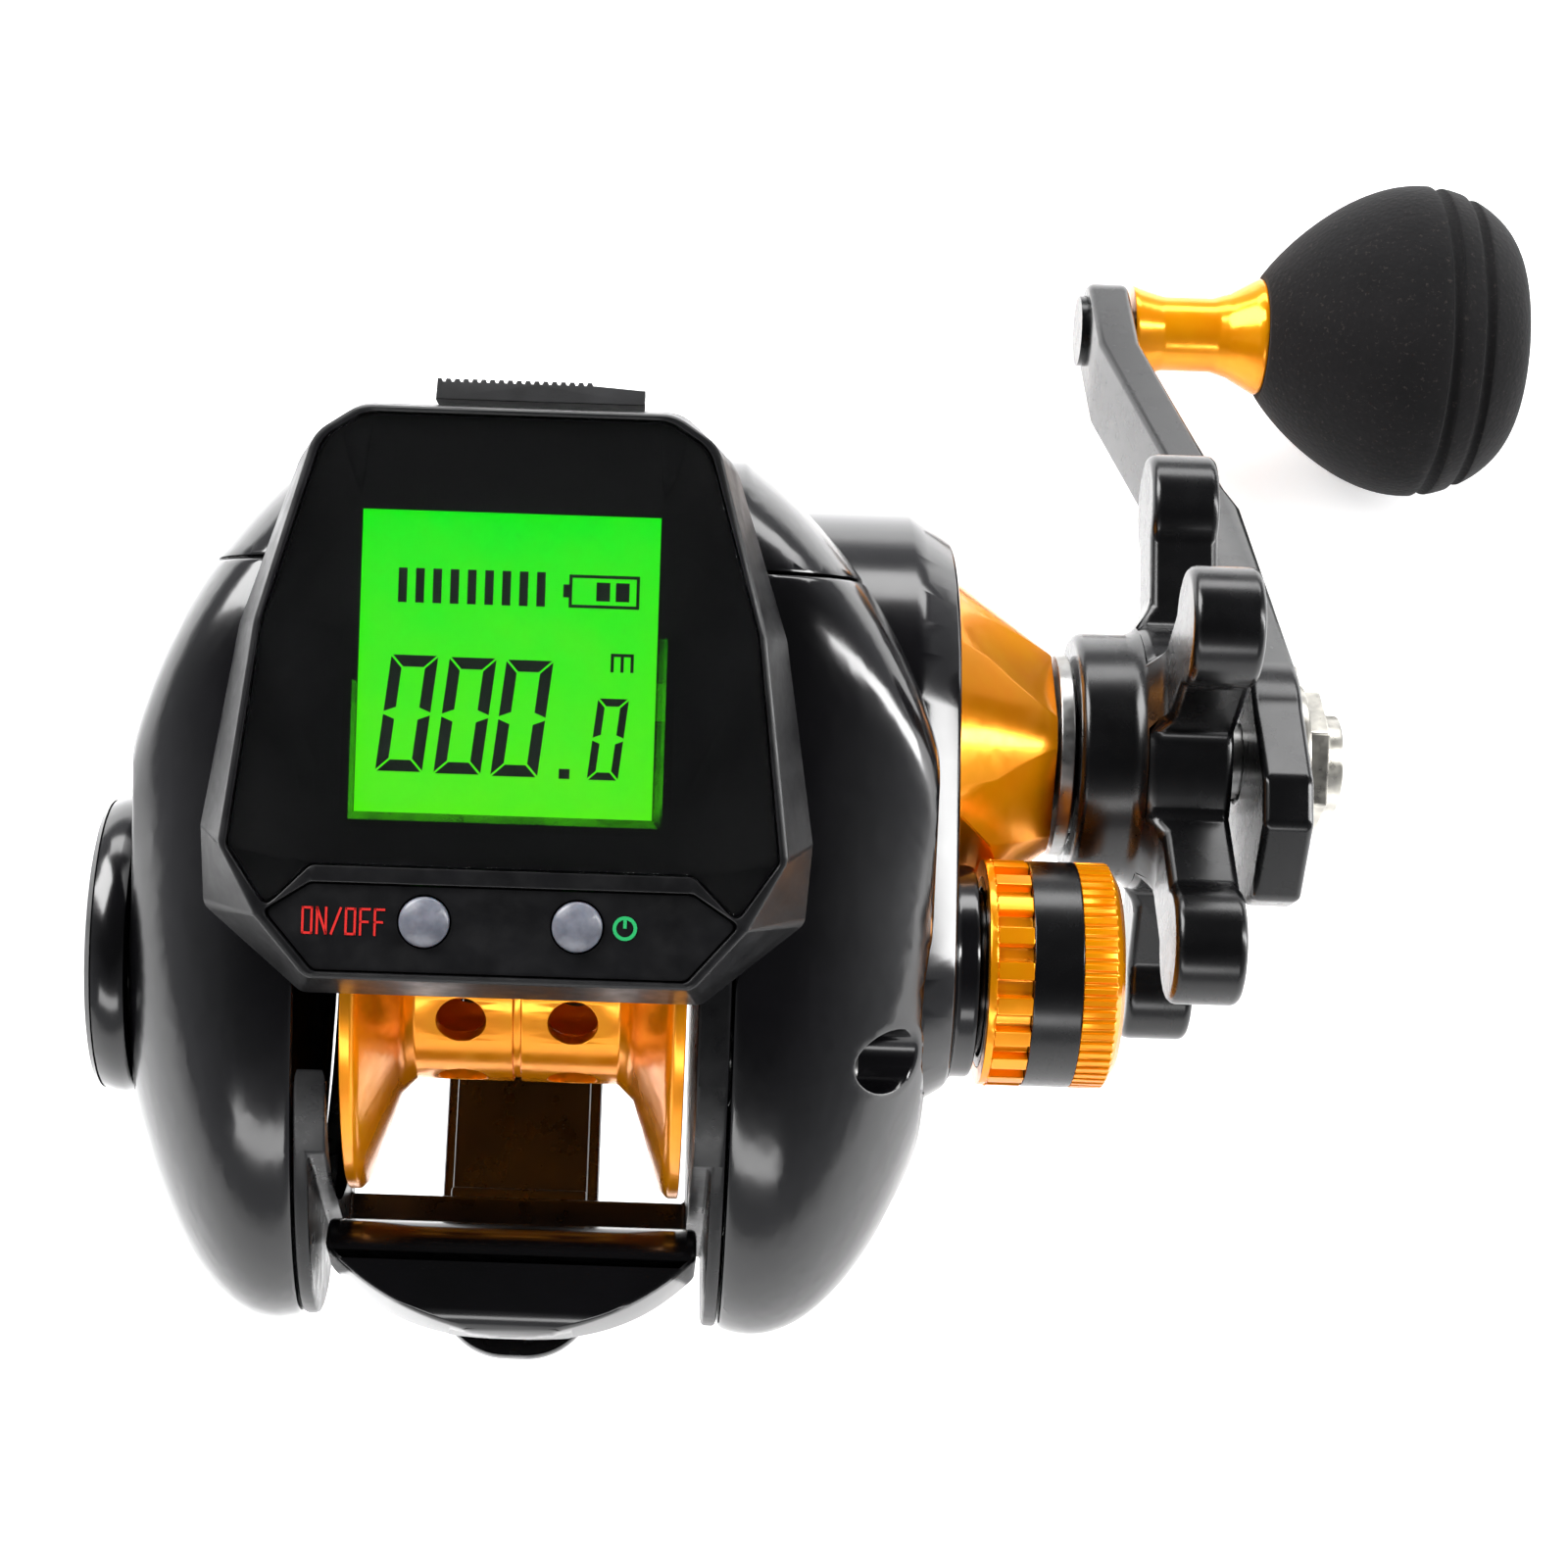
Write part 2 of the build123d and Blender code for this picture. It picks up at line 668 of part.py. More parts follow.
def nose_region(gap=0.0):
    """Space of the front cover: past the seam plane, but over the mouth between the walls."""
    reach = 2 * (PALM_REACH + HANDLE_REACH)
    half = extrude(COVER_PLANE.offset(-gap) * Rectangle(reach, reach), reach + gap)
    return half - block(-WALL_OUTER_X, WALL_OUTER_X, -reach, reach, -reach, COVER_LOW_Z - gap)


def tray_envelope(gap):
    """Space of the lower half of the display case under its rim."""
    return face_block(2 * (TRAY_HALF + gap), TRAY_V - gap, TRAY_FRONT_V + gap, TRAY_W - gap, CASE_W)


def case_space(gap):
    """Space of the display case over its lower edge."""
    low = CASE_W - gap
    return extrude(on_face(face_sketch(CASE_BASE_SHARES, gap), low), FACE_W - low)


def make_frame():
    """Side walls, foot stem and cross bars in one casting."""
    handle_wall = body_slab(WALL_INNER_X, WALL_OUTER_X)
    handle_wall += slab(WALL_INNER_X, WALL_OUTER_X, drum_profile())
    palm_wall = body_slab(-WALL_OUTER_X, -WALL_INNER_X)
    palm_wall -= bar(-WALL_OUTER_X - OVERRUN, 0, FLANGE_R + SPOOL_PORT_GAP)
    stem = block(-STEM_HALF, STEM_HALF, -STEM_REAR, STEM_FRONT, -SPOOL_AXIS_HEIGHT + FOOT_THICK, -STEM_TOP)
    frame = handle_wall + palm_wall + stem
    for y, z in [(-REAR_BAR_Y, -REAR_BAR_Z), (LOWER_BAR_Y, -LOWER_BAR_Z), (NOSE_BAR_Y, -NOSE_BAR_Z)]:
        half = CROSS_BAR / 2
        frame += block(-WALL_INNER_X, WALL_INNER_X, y - half, y + half, z - half, z + half)
    low = -STEM_TOP - CROSS_BAR / 2
    rear = -REAR_BAR_Y - CROSS_BAR / 2
    frame += block(-STEM_HALF, STEM_HALF, rear, -STEM_REAR + CROSS_BAR, low, -REAR_BAR_Z)
    front = LOWER_BAR_Y - CROSS_BAR / 2
    frame += block(-STEM_HALF, STEM_HALF, front, STEM_FRONT, low, -LOWER_BAR_Z)
    frame += tube(WALL_INNER_X, CAM_X + CAM_THICK, CAM_IN_R - RUN_GAP, PINION_NOSE_R + MOVE_GAP)
    # Pocket for the thumb bar in the tails of the walls
    frame -= block(
        -THUMB_POCKET_X, THUMB_POCKET_X, -BODY_REAR - OVERRUN, -TAIL_RECESS_Y, -BODY_BOTTOM, BODY_TOP
    )
    # Bores of the pinion, drive shaft, worm shaft and guide rod
    frame -= bar(0, WALL_OUTER_X + OVERRUN, PINION_NOSE_R + MOVE_GAP)
    past = WALL_OUTER_X + OVERRUN
    frame -= bar(DRIVE_SHAFT_LEFT_X - SCREW_GAP, past, DRIVE_SHAFT_R + RUN_GAP, DRIVE_Y, DRIVE_Z)
    frame -= bar(-past, past, WORM_JOURNAL_R + RUN_GAP, WORM_Y, WORM_Z)
    frame -= bar(-past, past, GUIDE_ROD_R + RUN_GAP, GUIDE_ROD_Y, GUIDE_ROD_Z)
    for y, z in SCREW_PLACES:
        frame -= bar(WALL_INNER_X - OVERRUN, WALL_OUTER_X + OVERRUN, SCREW_R + SCREW_GAP, y, z)
    for z in (-POST_AT, POST_AT):
        frame -= bar(WALL_INNER_X, WALL_OUTER_X + OVERRUN, POST_R + RUN_GAP, 0, z)
    for y in (-FOOT_SCREW_Y, FOOT_SCREW_Y):
        end = FOOT_SCREW_TOP + SCREW_GAP - SPOOL_AXIS_HEIGHT
        frame -= bar_up(y, -SPOOL_AXIS_HEIGHT, end, FOOT_SCREW_R + SCREW_GAP)
    frame -= nose_region(SEAM)
    frame -= tray_envelope(SEAM)
    frame -= case_space(MOVE_GAP)
    return frame


def make_reel_foot():
    """Foot plate that slides under the hoods of a reel seat."""
    half = FOOT_LENGTH / 2
    low = -SPOOL_AXIS_HEIGHT
    side = [
        (-half, low),
        (half, low),
        (half, low + FOOT_TIP),
        (FOOT_SEAT_FRONT, low + FOOT_THICK),
        (-FOOT_SEAT_REAR, low + FOOT_THICK),
        (-half, low + FOOT_TIP),
    ]
    foot = slab(-FOOT_WIDTH / 2, FOOT_WIDTH / 2, polygon(side))
    plan = RectangleRounded(FOOT_WIDTH, FOOT_LENGTH, FOOT_CORNER)
    foot &= Pos(0, 0, low) * extrude(plan, FOOT_THICK)
    for y in (-FOOT_SCREW_Y, FOOT_SCREW_Y):
        foot -= foot_screw(y, SCREW_GAP)
    return foot


def foot_screw(y, gap):
    """Countersunk screw from below, through the foot into the stem."""
    depth = FOOT_SCREW_HEAD_R - FOOT_SCREW_R
    lift = SCREW_GAP
    points = [
        (0, lift - gap),
        (FOOT_SCREW_HEAD_R + gap, lift - gap),
        (FOOT_SCREW_R + gap, lift + depth),
        (FOOT_SCREW_R + gap, FOOT_SCREW_TOP),
        (0, FOOT_SCREW_TOP),
    ]
    outline = Plane.XZ * polygon(points)
    return Pos(0, y, -SPOOL_AXIS_HEIGHT) * revolve(outline, Axis.Z)


def make_foot_screws():
    return [foot_screw(y, 0.0) for y in (-FOOT_SCREW_Y, FOOT_SCREW_Y)]


def plate_shell(reach):
    """Hollow domed plate, drawn towards +X, open towards the frame."""
    shell = dome(reach) - dome(reach, SHELL)
    around = 2 * (BODY_FRONT + BODY_TOP)
    return shell & block(WALL_OUTER_X + SEAM, 2 * reach, -around, around, -around, around)


def make_palm_side_plate():
    """Domed plate with the bearing post, the dial spigot and two arc slots."""
    plate = plate_shell(PALM_REACH)
    seat_r = BEARING_R + BEARING_SEAT_WALL
    plate += bar(PALM_BEARING_X, PALM_REACH, seat_r)
    plate += bar(PALM_REACH - SHELL / 2, SPIGOT_END_X, SPIGOT_R)
    plate -= bar(PALM_BEARING_X - OVERRUN, PALM_BEARING_X + BEARING_WIDTH, BEARING_R + RUN_GAP)
    plate -= bar(0, PALM_BEARING_X + BEARING_WIDTH + SHELL, BEARING_R / 2)
    slot_half = DIAL_PIN_R + MOVE_GAP
    slot = Pos((PALM_REACH - SHELL) - OVERRUN, DIAL_PIN_AT) * Rectangle(
        SHELL + 2 * OVERRUN, 2 * slot_half, align=(Align.MIN, Align.CENTER)
    )
    for start in (0, 180):
        plate -= Rot(start - DIAL_SLOT / 2, 0, 0) * revolve(slot, Axis.X, DIAL_SLOT)
    plate = to_palm_side(plate)
    plate -= nose_region(SEAM)
    plate -= bar(-WALL_OUTER_X - OVERRUN, 0, WORM_JOURNAL_R + SCREW_R, WORM_Y, WORM_Z)
    plate -= case_space(MOVE_GAP)
    return plate


def make_handle_side_plate():
    """Domed plate cut away for the gear housing, with two screw posts."""
    plate = plate_shell(HANDLE_REACH)
    solid_dome = dome(HANDLE_REACH)
    for y, z in SCREW_PLACES:
        plate += bar(WALL_OUTER_X + SEAM, HANDLE_REACH, SCREW_POST_R, y, z) & solid_dome
    for y, z in SCREW_PLACES:
        plate -= bar(SCREW_SEAT_X, HANDLE_REACH + OVERRUN, SCREW_WELL_R, y, z)
        plate -= bar(WALL_OUTER_X - OVERRUN, HANDLE_REACH, SCREW_R + SCREW_GAP, y, z)
    plate -= slab(WALL_OUTER_X - OVERRUN, DRUM_FACE_X + OVERRUN, drum_profile(-SEAM))
    plate -= nose_region(SEAM)
    plate -= case_space(MOVE_GAP)
    return plate


def make_gear_housing():
    """Drum over the gears, with the spool boss and the bearing bore."""
    housing = drum_envelope()
    housing -= slab(WALL_OUTER_X - OVERRUN, DRUM_FACE_X - DRUM_BEVEL_X, drum_profile(DRUM_WALL))
    housing -= slab(
        WALL_OUTER_X - OVERRUN, DRUM_FACE_X - DRUM_FACE, drum_profile(DRUM_WALL + DRUM_BEVEL_R)
    )
    housing &= slab(WALL_OUTER_X + SEAM, 2 * DRUM_FACE_X, drum_profile(-OVERRUN))
    seat_r = BEARING_R + BEARING_SEAT_WALL
    housing += bar(HANDLE_BEARING_X - SHELL, DRUM_FACE_X, seat_r)
    housing += bar(DRUM_FACE_X - DRUM_FACE / 2, BOSS_END_X, BOSS_R)
    housing += bar(DRUM_FACE_X - DRUM_FACE / 2, NECK_END_X, NECK_R)
    housing -= bar(HANDLE_BEARING_X, NECK_END_X + OVERRUN, BEARING_R + RUN_GAP)
    housing -= bar(0, DRUM_FACE_X, PINION_NOSE_R)
    housing -= bar(DRUM_FACE_X - OVERRUN, DRUM_FACE_X + OVERRUN, CONE_BORE_R + CONE_SINK, DRIVE_Y, DRIVE_Z)
    return housing


def make_bearing_cone():
    """Gold cone with flats, sunk a little into the drum face."""
    sink_x = DRUM_FACE_X - DRUM_FACE
    points = [
        (sink_x, CONE_BORE_R),
        (sink_x, CONE_BORE_R + CONE_SINK),
        (DRUM_FACE_X, CONE_BORE_R + CONE_SINK),
        (DRUM_FACE_X, CONE_BASE_R),
        (CONE_END_X, CONE_TIP_R),
        (CONE_END_X, CONE_BORE_R),
    ]
    cone = turned(points)
    slope = (CONE_BASE_R - CONE_TIP_R) / CONE_LONG
    start = CONE_FLAT_FROM_SHARE * CONE_LONG
    for index in range(CONE_FLATS):
        low = [
            (DRUM_FACE_X + start, CONE_BASE_R - slope * start + SEAM),
            (CONE_END_X, CONE_TIP_R + SEAM),
            (CONE_END_X, CONE_TIP_R - CONE_FLAT_DEPTH / 2),
        ]
        wedge = extrude(polygon(low), CONE_TIP_R / 4, both=True)
        cone -= Rot(360 / CONE_FLATS * (index + 0.5), 0, 0) * wedge
    cone = Pos(0, DRIVE_Y, DRIVE_Z) * cone
    return cone - bar(DRUM_FACE_X - OVERRUN, CAST_DOME_X, CAST_R + MOVE_GAP)


def make_front_cover():
    """Nose piece over the level wind, from one side plate to the other."""
    outer = body_slab(-WALL_OUTER_X, WALL_OUTER_X) + dome(HANDLE_REACH) + to_palm_side(dome(PALM_REACH))
    inner = (
        body_slab(-WALL_OUTER_X, WALL_OUTER_X, SHELL)
        + dome(HANDLE_REACH, SHELL)
        + to_palm_side(dome(PALM_REACH, SHELL))
    )
    cover = (outer - inner) & nose_region()
    cover -= slab(WALL_OUTER_X - OVERRUN, DRUM_FACE_X + OVERRUN, drum_profile(-SEAM))
    cover -= tray_envelope(SEAM)
    cover -= case_space(MOVE_GAP)
    return cover


def make_spool():
    """Spool with a thin skin, a central web and a drilled arbor."""
    half = SPOOL_WIDTH / 2
    groove = SEAM_GROOVE
    right = [
        (groove, ARBOR_R - groove),
        (groove, ARBOR_R),
        (ARBOR_HALF, ARBOR_R),
        (ARBOR_HALF + SPOOL_SKIN, ARBOR_R + SPOOL_SKIN),
        (half - FLANGE_RIM - SPOOL_SKIN / 2, FLANGE_R - SPOOL_SKIN / 2),
        (half - FLANGE_RIM, FLANGE_R),
        (half, FLANGE_R),
        (half, FLANGE_R - SPOOL_SKIN),
        (ARBOR_HALF + 2 * SPOOL_SKIN, ARBOR_R),
        (ARBOR_HALF + SPOOL_SKIN, ARBOR_R - SPOOL_SKIN),
        (SPOOL_WEB / 2, ARBOR_R - SPOOL_SKIN),
        (SPOOL_WEB / 2, HUB_R),
        (ARBOR_HALF, HUB_R),
        (ARBOR_HALF, SHAFT_R),
    ]
    left = [(-x, radius) for x, radius in reversed(right)]
    spool = turned(right + left)
    drill = Cylinder(ARBOR_HOLE_R, ARBOR_R, align=(Align.CENTER, Align.CENTER, Align.MIN))
    for index in range(ARBOR_HOLES):
        turn = ARBOR_HOLE_TURN - 90 + 360 / ARBOR_HOLES * index
        for x in (-ARBOR_HOLE_X, ARBOR_HOLE_X):
            spool -= Rot(turn, 0, 0) * Pos(x, 0, HUB_R + SPOOL_SKIN) * drill
    return spool


def make_spool_shaft():
    """Shaft with the cross pin that the pinion drives."""
    shaft = bar(-SHAFT_LEFT, SHAFT_RIGHT, SHAFT_R)
    pin_x = PINION_NOSE_X - MOVE_GAP - CROSS_PIN_R
    return shaft + Pos(pin_x, 0, 0) * Cylinder(CROSS_PIN_R, 2 * CROSS_PIN_HALF)


def bearing(x0, width, outer, inner, y=0.0, z=0.0):
    """Shielded ball bearing as one ring with a groove each side."""
    middle = (outer + inner) / 2
    step = (outer - inner) / 6
    ring = tube(x0, x0 + width, outer, inner, y, z)
    ring -= tube(x0 - OVERRUN, x0 + step / 2, middle + step, middle - step, y, z)
    ring -= tube(x0 + width - step / 2, x0 + width + OVERRUN, middle + step, middle - step, y, z)
    return ring


def make_spool_bearings():
    palm = bearing(-PALM_BEARING_X - BEARING_WIDTH, BEARING_WIDTH, BEARING_R, SHAFT_R + RUN_GAP)
    handle = bearing(HANDLE_BEARING_X, BEARING_WIDTH, BEARING_R, SHAFT_R + RUN_GAP)
    return [palm, handle]


def drive_direction():
    return degrees(atan2(-DRIVE_Z, -DRIVE_Y))


def make_pinion_gear():
    """Pinion, with a plain nose and the neck that the yoke holds."""
    turn = drive_direction() + 180 + 180 / PINION_TEETH
    pinion = gear(PINION_TEETH, GEAR_MODULE, turn, PINION_X, PINION_END_X - PINION_X, 0, 0)
    pinion += bar(YOKE_X - MOVE_GAP, PINION_X + MOVE_GAP, PINION_NECK_R)
    pinion += bar(PINION_NOSE_X, YOKE_X - MOVE_GAP, PINION_NOSE_R)
    pinion -= bar(0, PINION_END_X + OVERRUN, PINION_BORE_R)
    return pinion


def make_drive_gear():
    """Main gear, dished on the handle side for the drag washers."""
    wheel = gear(
        DRIVE_TEETH, GEAR_MODULE, drive_direction(), DRIVE_GEAR_X, DRIVE_GEAR_WIDTH, DRIVE_Y, DRIVE_Z
    )
    wheel -= bar(
        DRIVE_GEAR_X + DRIVE_GEAR_WEB, DRIVE_GEAR_X + DRIVE_GEAR_WIDTH + OVERRUN, WASHER_R + MOVE_GAP,
        DRIVE_Y, DRIVE_Z,
    )
    wheel -= bar(0, DRUM_FACE_X, DRIVE_SHAFT_R, DRIVE_Y, DRIVE_Z)
    return wheel


def make_drag_washers():
    """Friction washers stacked in the dish of the main gear."""
    washers = []
    for index in range(WASHERS):
        x = DRIVE_GEAR_X + DRIVE_GEAR_WEB + index * WASHER_THICK
        shrink = WASHER_THICK / 2 * (index % 2)
        washers.append(tube(x, x + WASHER_THICK, WASHER_R - shrink, DRIVE_SHAFT_R, DRIVE_Y, DRIVE_Z))
    return washers


def make_level_wind_gear():
    """Gear on the drive shaft that turns the worm shaft."""
    wheel = gear(WORM_DRIVE_TEETH, WORM_MODULE, WORM_ANGLE, WORM_DRIVE_X, WORM_GEAR_WIDTH, DRIVE_Y, DRIVE_Z)
    wheel += bar(WORM_DRIVE_X, DRIVE_GEAR_X, DRIVE_SHAFT_R + SHELL, DRIVE_Y, DRIVE_Z)
    wheel -= bar(0, DRUM_FACE_X, DRIVE_SHAFT_R, DRIVE_Y, DRIVE_Z)
    return wheel


def make_worm_gear():
    turn = WORM_ANGLE + 180 + 180 / WORM_TEETH
    wheel = gear(WORM_TEETH, WORM_MODULE, turn, WORM_DRIVE_X, WORM_GEAR_WIDTH, WORM_Y, WORM_Z)
    wheel -= bar(0, DRUM_FACE_X, WORM_JOURNAL_R, WORM_Y, WORM_Z)
    return wheel


def make_drive_shaft():
    """Main shaft with a flange behind the level wind gear."""
    shaft = bar(DRIVE_SHAFT_LEFT_X, DRIVE_SHAFT_END_X, DRIVE_SHAFT_R, DRIVE_Y, DRIVE_Z)
    return shaft + bar(WALL_OUTER_X + MOVE_GAP, WORM_DRIVE_X, DRIVE_SHAFT_R + SHELL, DRIVE_Y, DRIVE_Z)


def make_one_way_bearing():
    """Roller bearing pressed into the cone."""
    return bearing(
        ROLLER_BEARING_X, ROLLER_BEARING_WIDTH, CONE_BORE_R, SLEEVE_R + RUN_GAP, DRIVE_Y, DRIVE_Z
    )


def make_shaft_sleeve():
    """Hardened sleeve through the roller bearing, with the collar seen at the cone's end."""
    points = [
        (SLEEVE_X, DRIVE_SHAFT_R),
        (SLEEVE_X, SLEEVE_R),
        (COLLAR_X, SLEEVE_R),
        (COLLAR_X, COLLAR_R),
        (COLLAR_END_X, COLLAR_R),
        (COLLAR_END_X, DRIVE_SHAFT_R),
    ]
    return turned(points, DRIVE_Y, DRIVE_Z)


def star_outline():
    """Five straight arms with round tips about a hub."""
    hub = Circle(STAR_ROOT_R)
    arm_end = STAR_REACH - STAR_TIP_R
    for index in range(STAR_LOBES):
        turn = STAR_FIRST_LOBE + 360 / STAR_LOBES * index
        arm = Pos(arm_end / 2, 0) * Rectangle(arm_end, STAR_WAIST)
        paddle = Pos(arm_end, 0) * Circle(STAR_TIP_R)
        hub += Rot(0, 0, turn) * (arm + paddle)
    return hub


def make_star_drag():
    """Star wheel: hub tube, cranked web and paddles."""
    arms = slab(STAR_ARM_X, STAR_ARM_X + STAR_ARM_THICK, star_outline())
    cone = turned([
        (STAR_ARM_X - STAR_WEB, 0),
        (STAR_ARM_X - STAR_WEB, STAR_HUB_R),
        (STAR_ARM_X, STAR_ROOT_R + STAR_WEB),
        (STAR_ARM_X, 0),
    ])
    web = slab(STAR_ARM_X - STAR_WEB, STAR_ARM_X, star_outline()) & cone
    star = arms + web + bar(STAR_HUB_X, STAR_ARM_X, STAR_HUB_R)
    star -= bar(STAR_HUB_X - OVERRUN, STAR_HUB_X + SPRING_POCKET_DEPTH, SPRING_POCKET_R)
    star -= bar(0, DRIVE_SHAFT_END_X, STAR_BORE_R)
    return Pos(0, DRIVE_Y, DRIVE_Z) * star


def make_drag_springs():
    """Two dished spring washers in the pocket of the star wheel."""
    springs = []
    thick = SPRING_POCKET_DEPTH / 5
    rise = SPRING_POCKET_DEPTH / 4
    outer = SPRING_POCKET_R - MOVE_GAP
    inner = DRIVE_SHAFT_R + RUN_GAP
    x = COLLAR_END_X
    springs.append(turned(
        [(x, inner), (x + thick, inner), (x + rise + thick, outer), (x + rise, outer)], DRIVE_Y, DRIVE_Z
    ))
    back = x + 2 * (rise + thick)
    springs.append(turned(
        [(back, inner), (back - thick, inner), (back - rise - thick, outer), (back - rise, outer)],
        DRIVE_Y, DRIVE_Z,
    ))
    return springs


def arm_plan():
    """Handle arm seen along X, with the knob end at +X of the sketch."""
    eye = Pos(ARM_LENGTH, 0) * Circle(ARM_EYE_R)
    hub = Circle(ARM_HUB_R)
    blade = polygon([
        (0, ARM_HUB_R),
        (ARM_LENGTH / 2, ARM_NECK),
        (ARM_LENGTH, ARM_EYE_R),
        (ARM_LENGTH, -ARM_EYE_R),
        (ARM_LENGTH / 2, -ARM_NECK),
        (0, -ARM_HUB_R),
    ])
    tail = polygon([
        (0, ARM_HUB_R),
        (-ARM_TAIL + ARM_TAIL_CORNER, ARM_TAIL_HALF),
        (-ARM_TAIL, ARM_TAIL_HALF - ARM_TAIL_CORNER),
        (-ARM_TAIL, -ARM_TAIL_HALF + ARM_TAIL_CORNER),
        (-ARM_TAIL + ARM_TAIL_CORNER, -ARM_TAIL_HALF),
        (0, -ARM_HUB_R),
    ])
    return hub + eye + blade + tail


def make_handle_arm():
    """Cranked flat arm: its plan cut by its bent side view."""
    plan = slab(STAR_ARM_X, ARM_HUB_OUT_X + ARM_THICK, arm_plan())
    outer = [
        (ARM_HUB_OUT_X, -ARM_TAIL - OVERRUN),
        (ARM_HUB_OUT_X, ARM_BEND_FROM),
        (ARM_TIP_OUT_X, ARM_BEND_TO),
        (ARM_TIP_OUT_X, ARM_LENGTH + ARM_EYE_R + OVERRUN),
    ]
    inner = [(x - ARM_THICK, along) for x, along in reversed(outer)]
    side = extrude(polygon(outer + inner), ARM_LENGTH, both=True)
    arm = plan & side
    arm -= bar(0, 2 * ARM_HUB_OUT_X, DRIVE_SHAFT_R)
    arm -= bar(0, 2 * ARM_HUB_OUT_X, SPINDLE_R, ARM_LENGTH, 0)
    arm -= bar(
        ARM_HUB_OUT_X - RETAINER_THICK, ARM_HUB_OUT_X + OVERRUN, RETAINER_SCREW_R, RETAINER_SCREW_AT, 0
    )
    return Pos(0, DRIVE_Y, DRIVE_Z) * Rot(ARM_ANGLE, 0, 0) * arm


def make_handle_nut():
    """Hexagon nut with a round cap."""
    hexagon = RegularPolygon(NUT_FLATS / 2, 6, major_radius=False)
    nut = slab(ARM_HUB_OUT_X, ARM_HUB_OUT_X + NUT_HEIGHT, hexagon)
    nut += bar(ARM_HUB_OUT_X + NUT_HEIGHT, ARM_HUB_OUT_X + NUT_HEIGHT + NUT_DOME_HEIGHT, NUT_DOME_R)
    nut -= bar(0, DRIVE_SHAFT_END_X, DRIVE_SHAFT_R)
    return Pos(0, DRIVE_Y, DRIVE_Z) * Rot(ARM_ANGLE, 0, 0) * nut


def make_nut_retainer():
    """Plate round the nut that keeps it from turning back."""
    half = RETAINER_WIDTH / 2
    plate = Circle(half) + Pos(RETAINER_SCREW_AT / 2, 0) * Rectangle(RETAINER_SCREW_AT, NUT_FLATS / 2)
    plate += Pos(RETAINER_SCREW_AT, 0) * Circle(NUT_FLATS / 4 + SCREW_GAP)
    plate -= RegularPolygon(NUT_FLATS / 2 + SCREW_GAP, 6, major_radius=False)
    solid = slab(ARM_HUB_OUT_X, ARM_HUB_OUT_X + RETAINER_THICK, plate)
    solid -= bar(0, 2 * ARM_HUB_OUT_X, RETAINER_SCREW_R, RETAINER_SCREW_AT, 0)
    return Pos(0, DRIVE_Y, DRIVE_Z) * Rot(ARM_ANGLE, 0, 0) * solid


def make_retainer_screw():
    top = ARM_HUB_OUT_X + RETAINER_THICK
    screw = bar(ARM_HUB_OUT_X - RETAINER_THICK, top, RETAINER_SCREW_R, RETAINER_SCREW_AT, 0)
    screw += bar(top, top + RETAINER_SCREW_HEAD, NUT_FLATS / 4, RETAINER_SCREW_AT, 0)
    slot = block(
        top + RETAINER_SCREW_HEAD / 2, top + 2 * RETAINER_SCREW_HEAD,
        RETAINER_SCREW_AT - SCREW_SLOT / 2, RETAINER_SCREW_AT + SCREW_SLOT / 2, -OVERRUN, OVERRUN,
    )
    return Pos(0, DRIVE_Y, DRIVE_Z) * Rot(ARM_ANGLE, 0, 0) * (screw - slot)


def make_knob_spindle():
    """Spindle riveted into the eye of the arm."""
    inner_x = ARM_TIP_OUT_X - ARM_THICK
    spindle = bar(inner_x, SPINDLE_END_X, SPINDLE_R, KNOB_Y, KNOB_Z)
    return spindle + bar(inner_x - SPINDLE_HEAD, inner_x, SPINDLE_HEAD_R, KNOB_Y, KNOB_Z)


def make_knob_collar():
    """Gold stem between the arm and the foam."""
    bore = SPINDLE_R + RUN_GAP
    lip = COLLAR_LIP_R - COLLAR_STEM_R
    outside = [
        (KNOB_COLLAR_X + along * KNOB_COLLAR_LONG, COLLAR_STEM_R + out * lip)
        for along, out in COLLAR_SHARES
    ]
    core = [
        (KNOB_COLLAR_END_X - KNOB_GAP_X, KNOB_FLARE_R),
        (KNOB_COLLAR_END_X, KNOB_FLARE_R),
        (KNOB_COLLAR_END_X, KNOB_CORE_R),
        (SPINDLE_END_X + KNOB_GAP_X, KNOB_CORE_R),
        (SPINDLE_END_X + KNOB_GAP_X, KNOB_CORE_IN_R),
        (KNOB_COLLAR_END_X, KNOB_CORE_IN_R),
        (KNOB_COLLAR_END_X, bore),
        (KNOB_COLLAR_X, bore),
    ]
    return turned(outside + core, KNOB_Y, KNOB_Z)


def make_knob_bearings():
    """Two bearings between the spindle and the core of the knob."""
    far = SPINDLE_END_X - KNOB_BEARING_WIDTH
    inner = SPINDLE_R + RUN_GAP
    return [
        bearing(x, KNOB_BEARING_WIDTH, KNOB_CORE_IN_R, inner, KNOB_Y, KNOB_Z)
        for x in (KNOB_COLLAR_END_X, far)
    ]


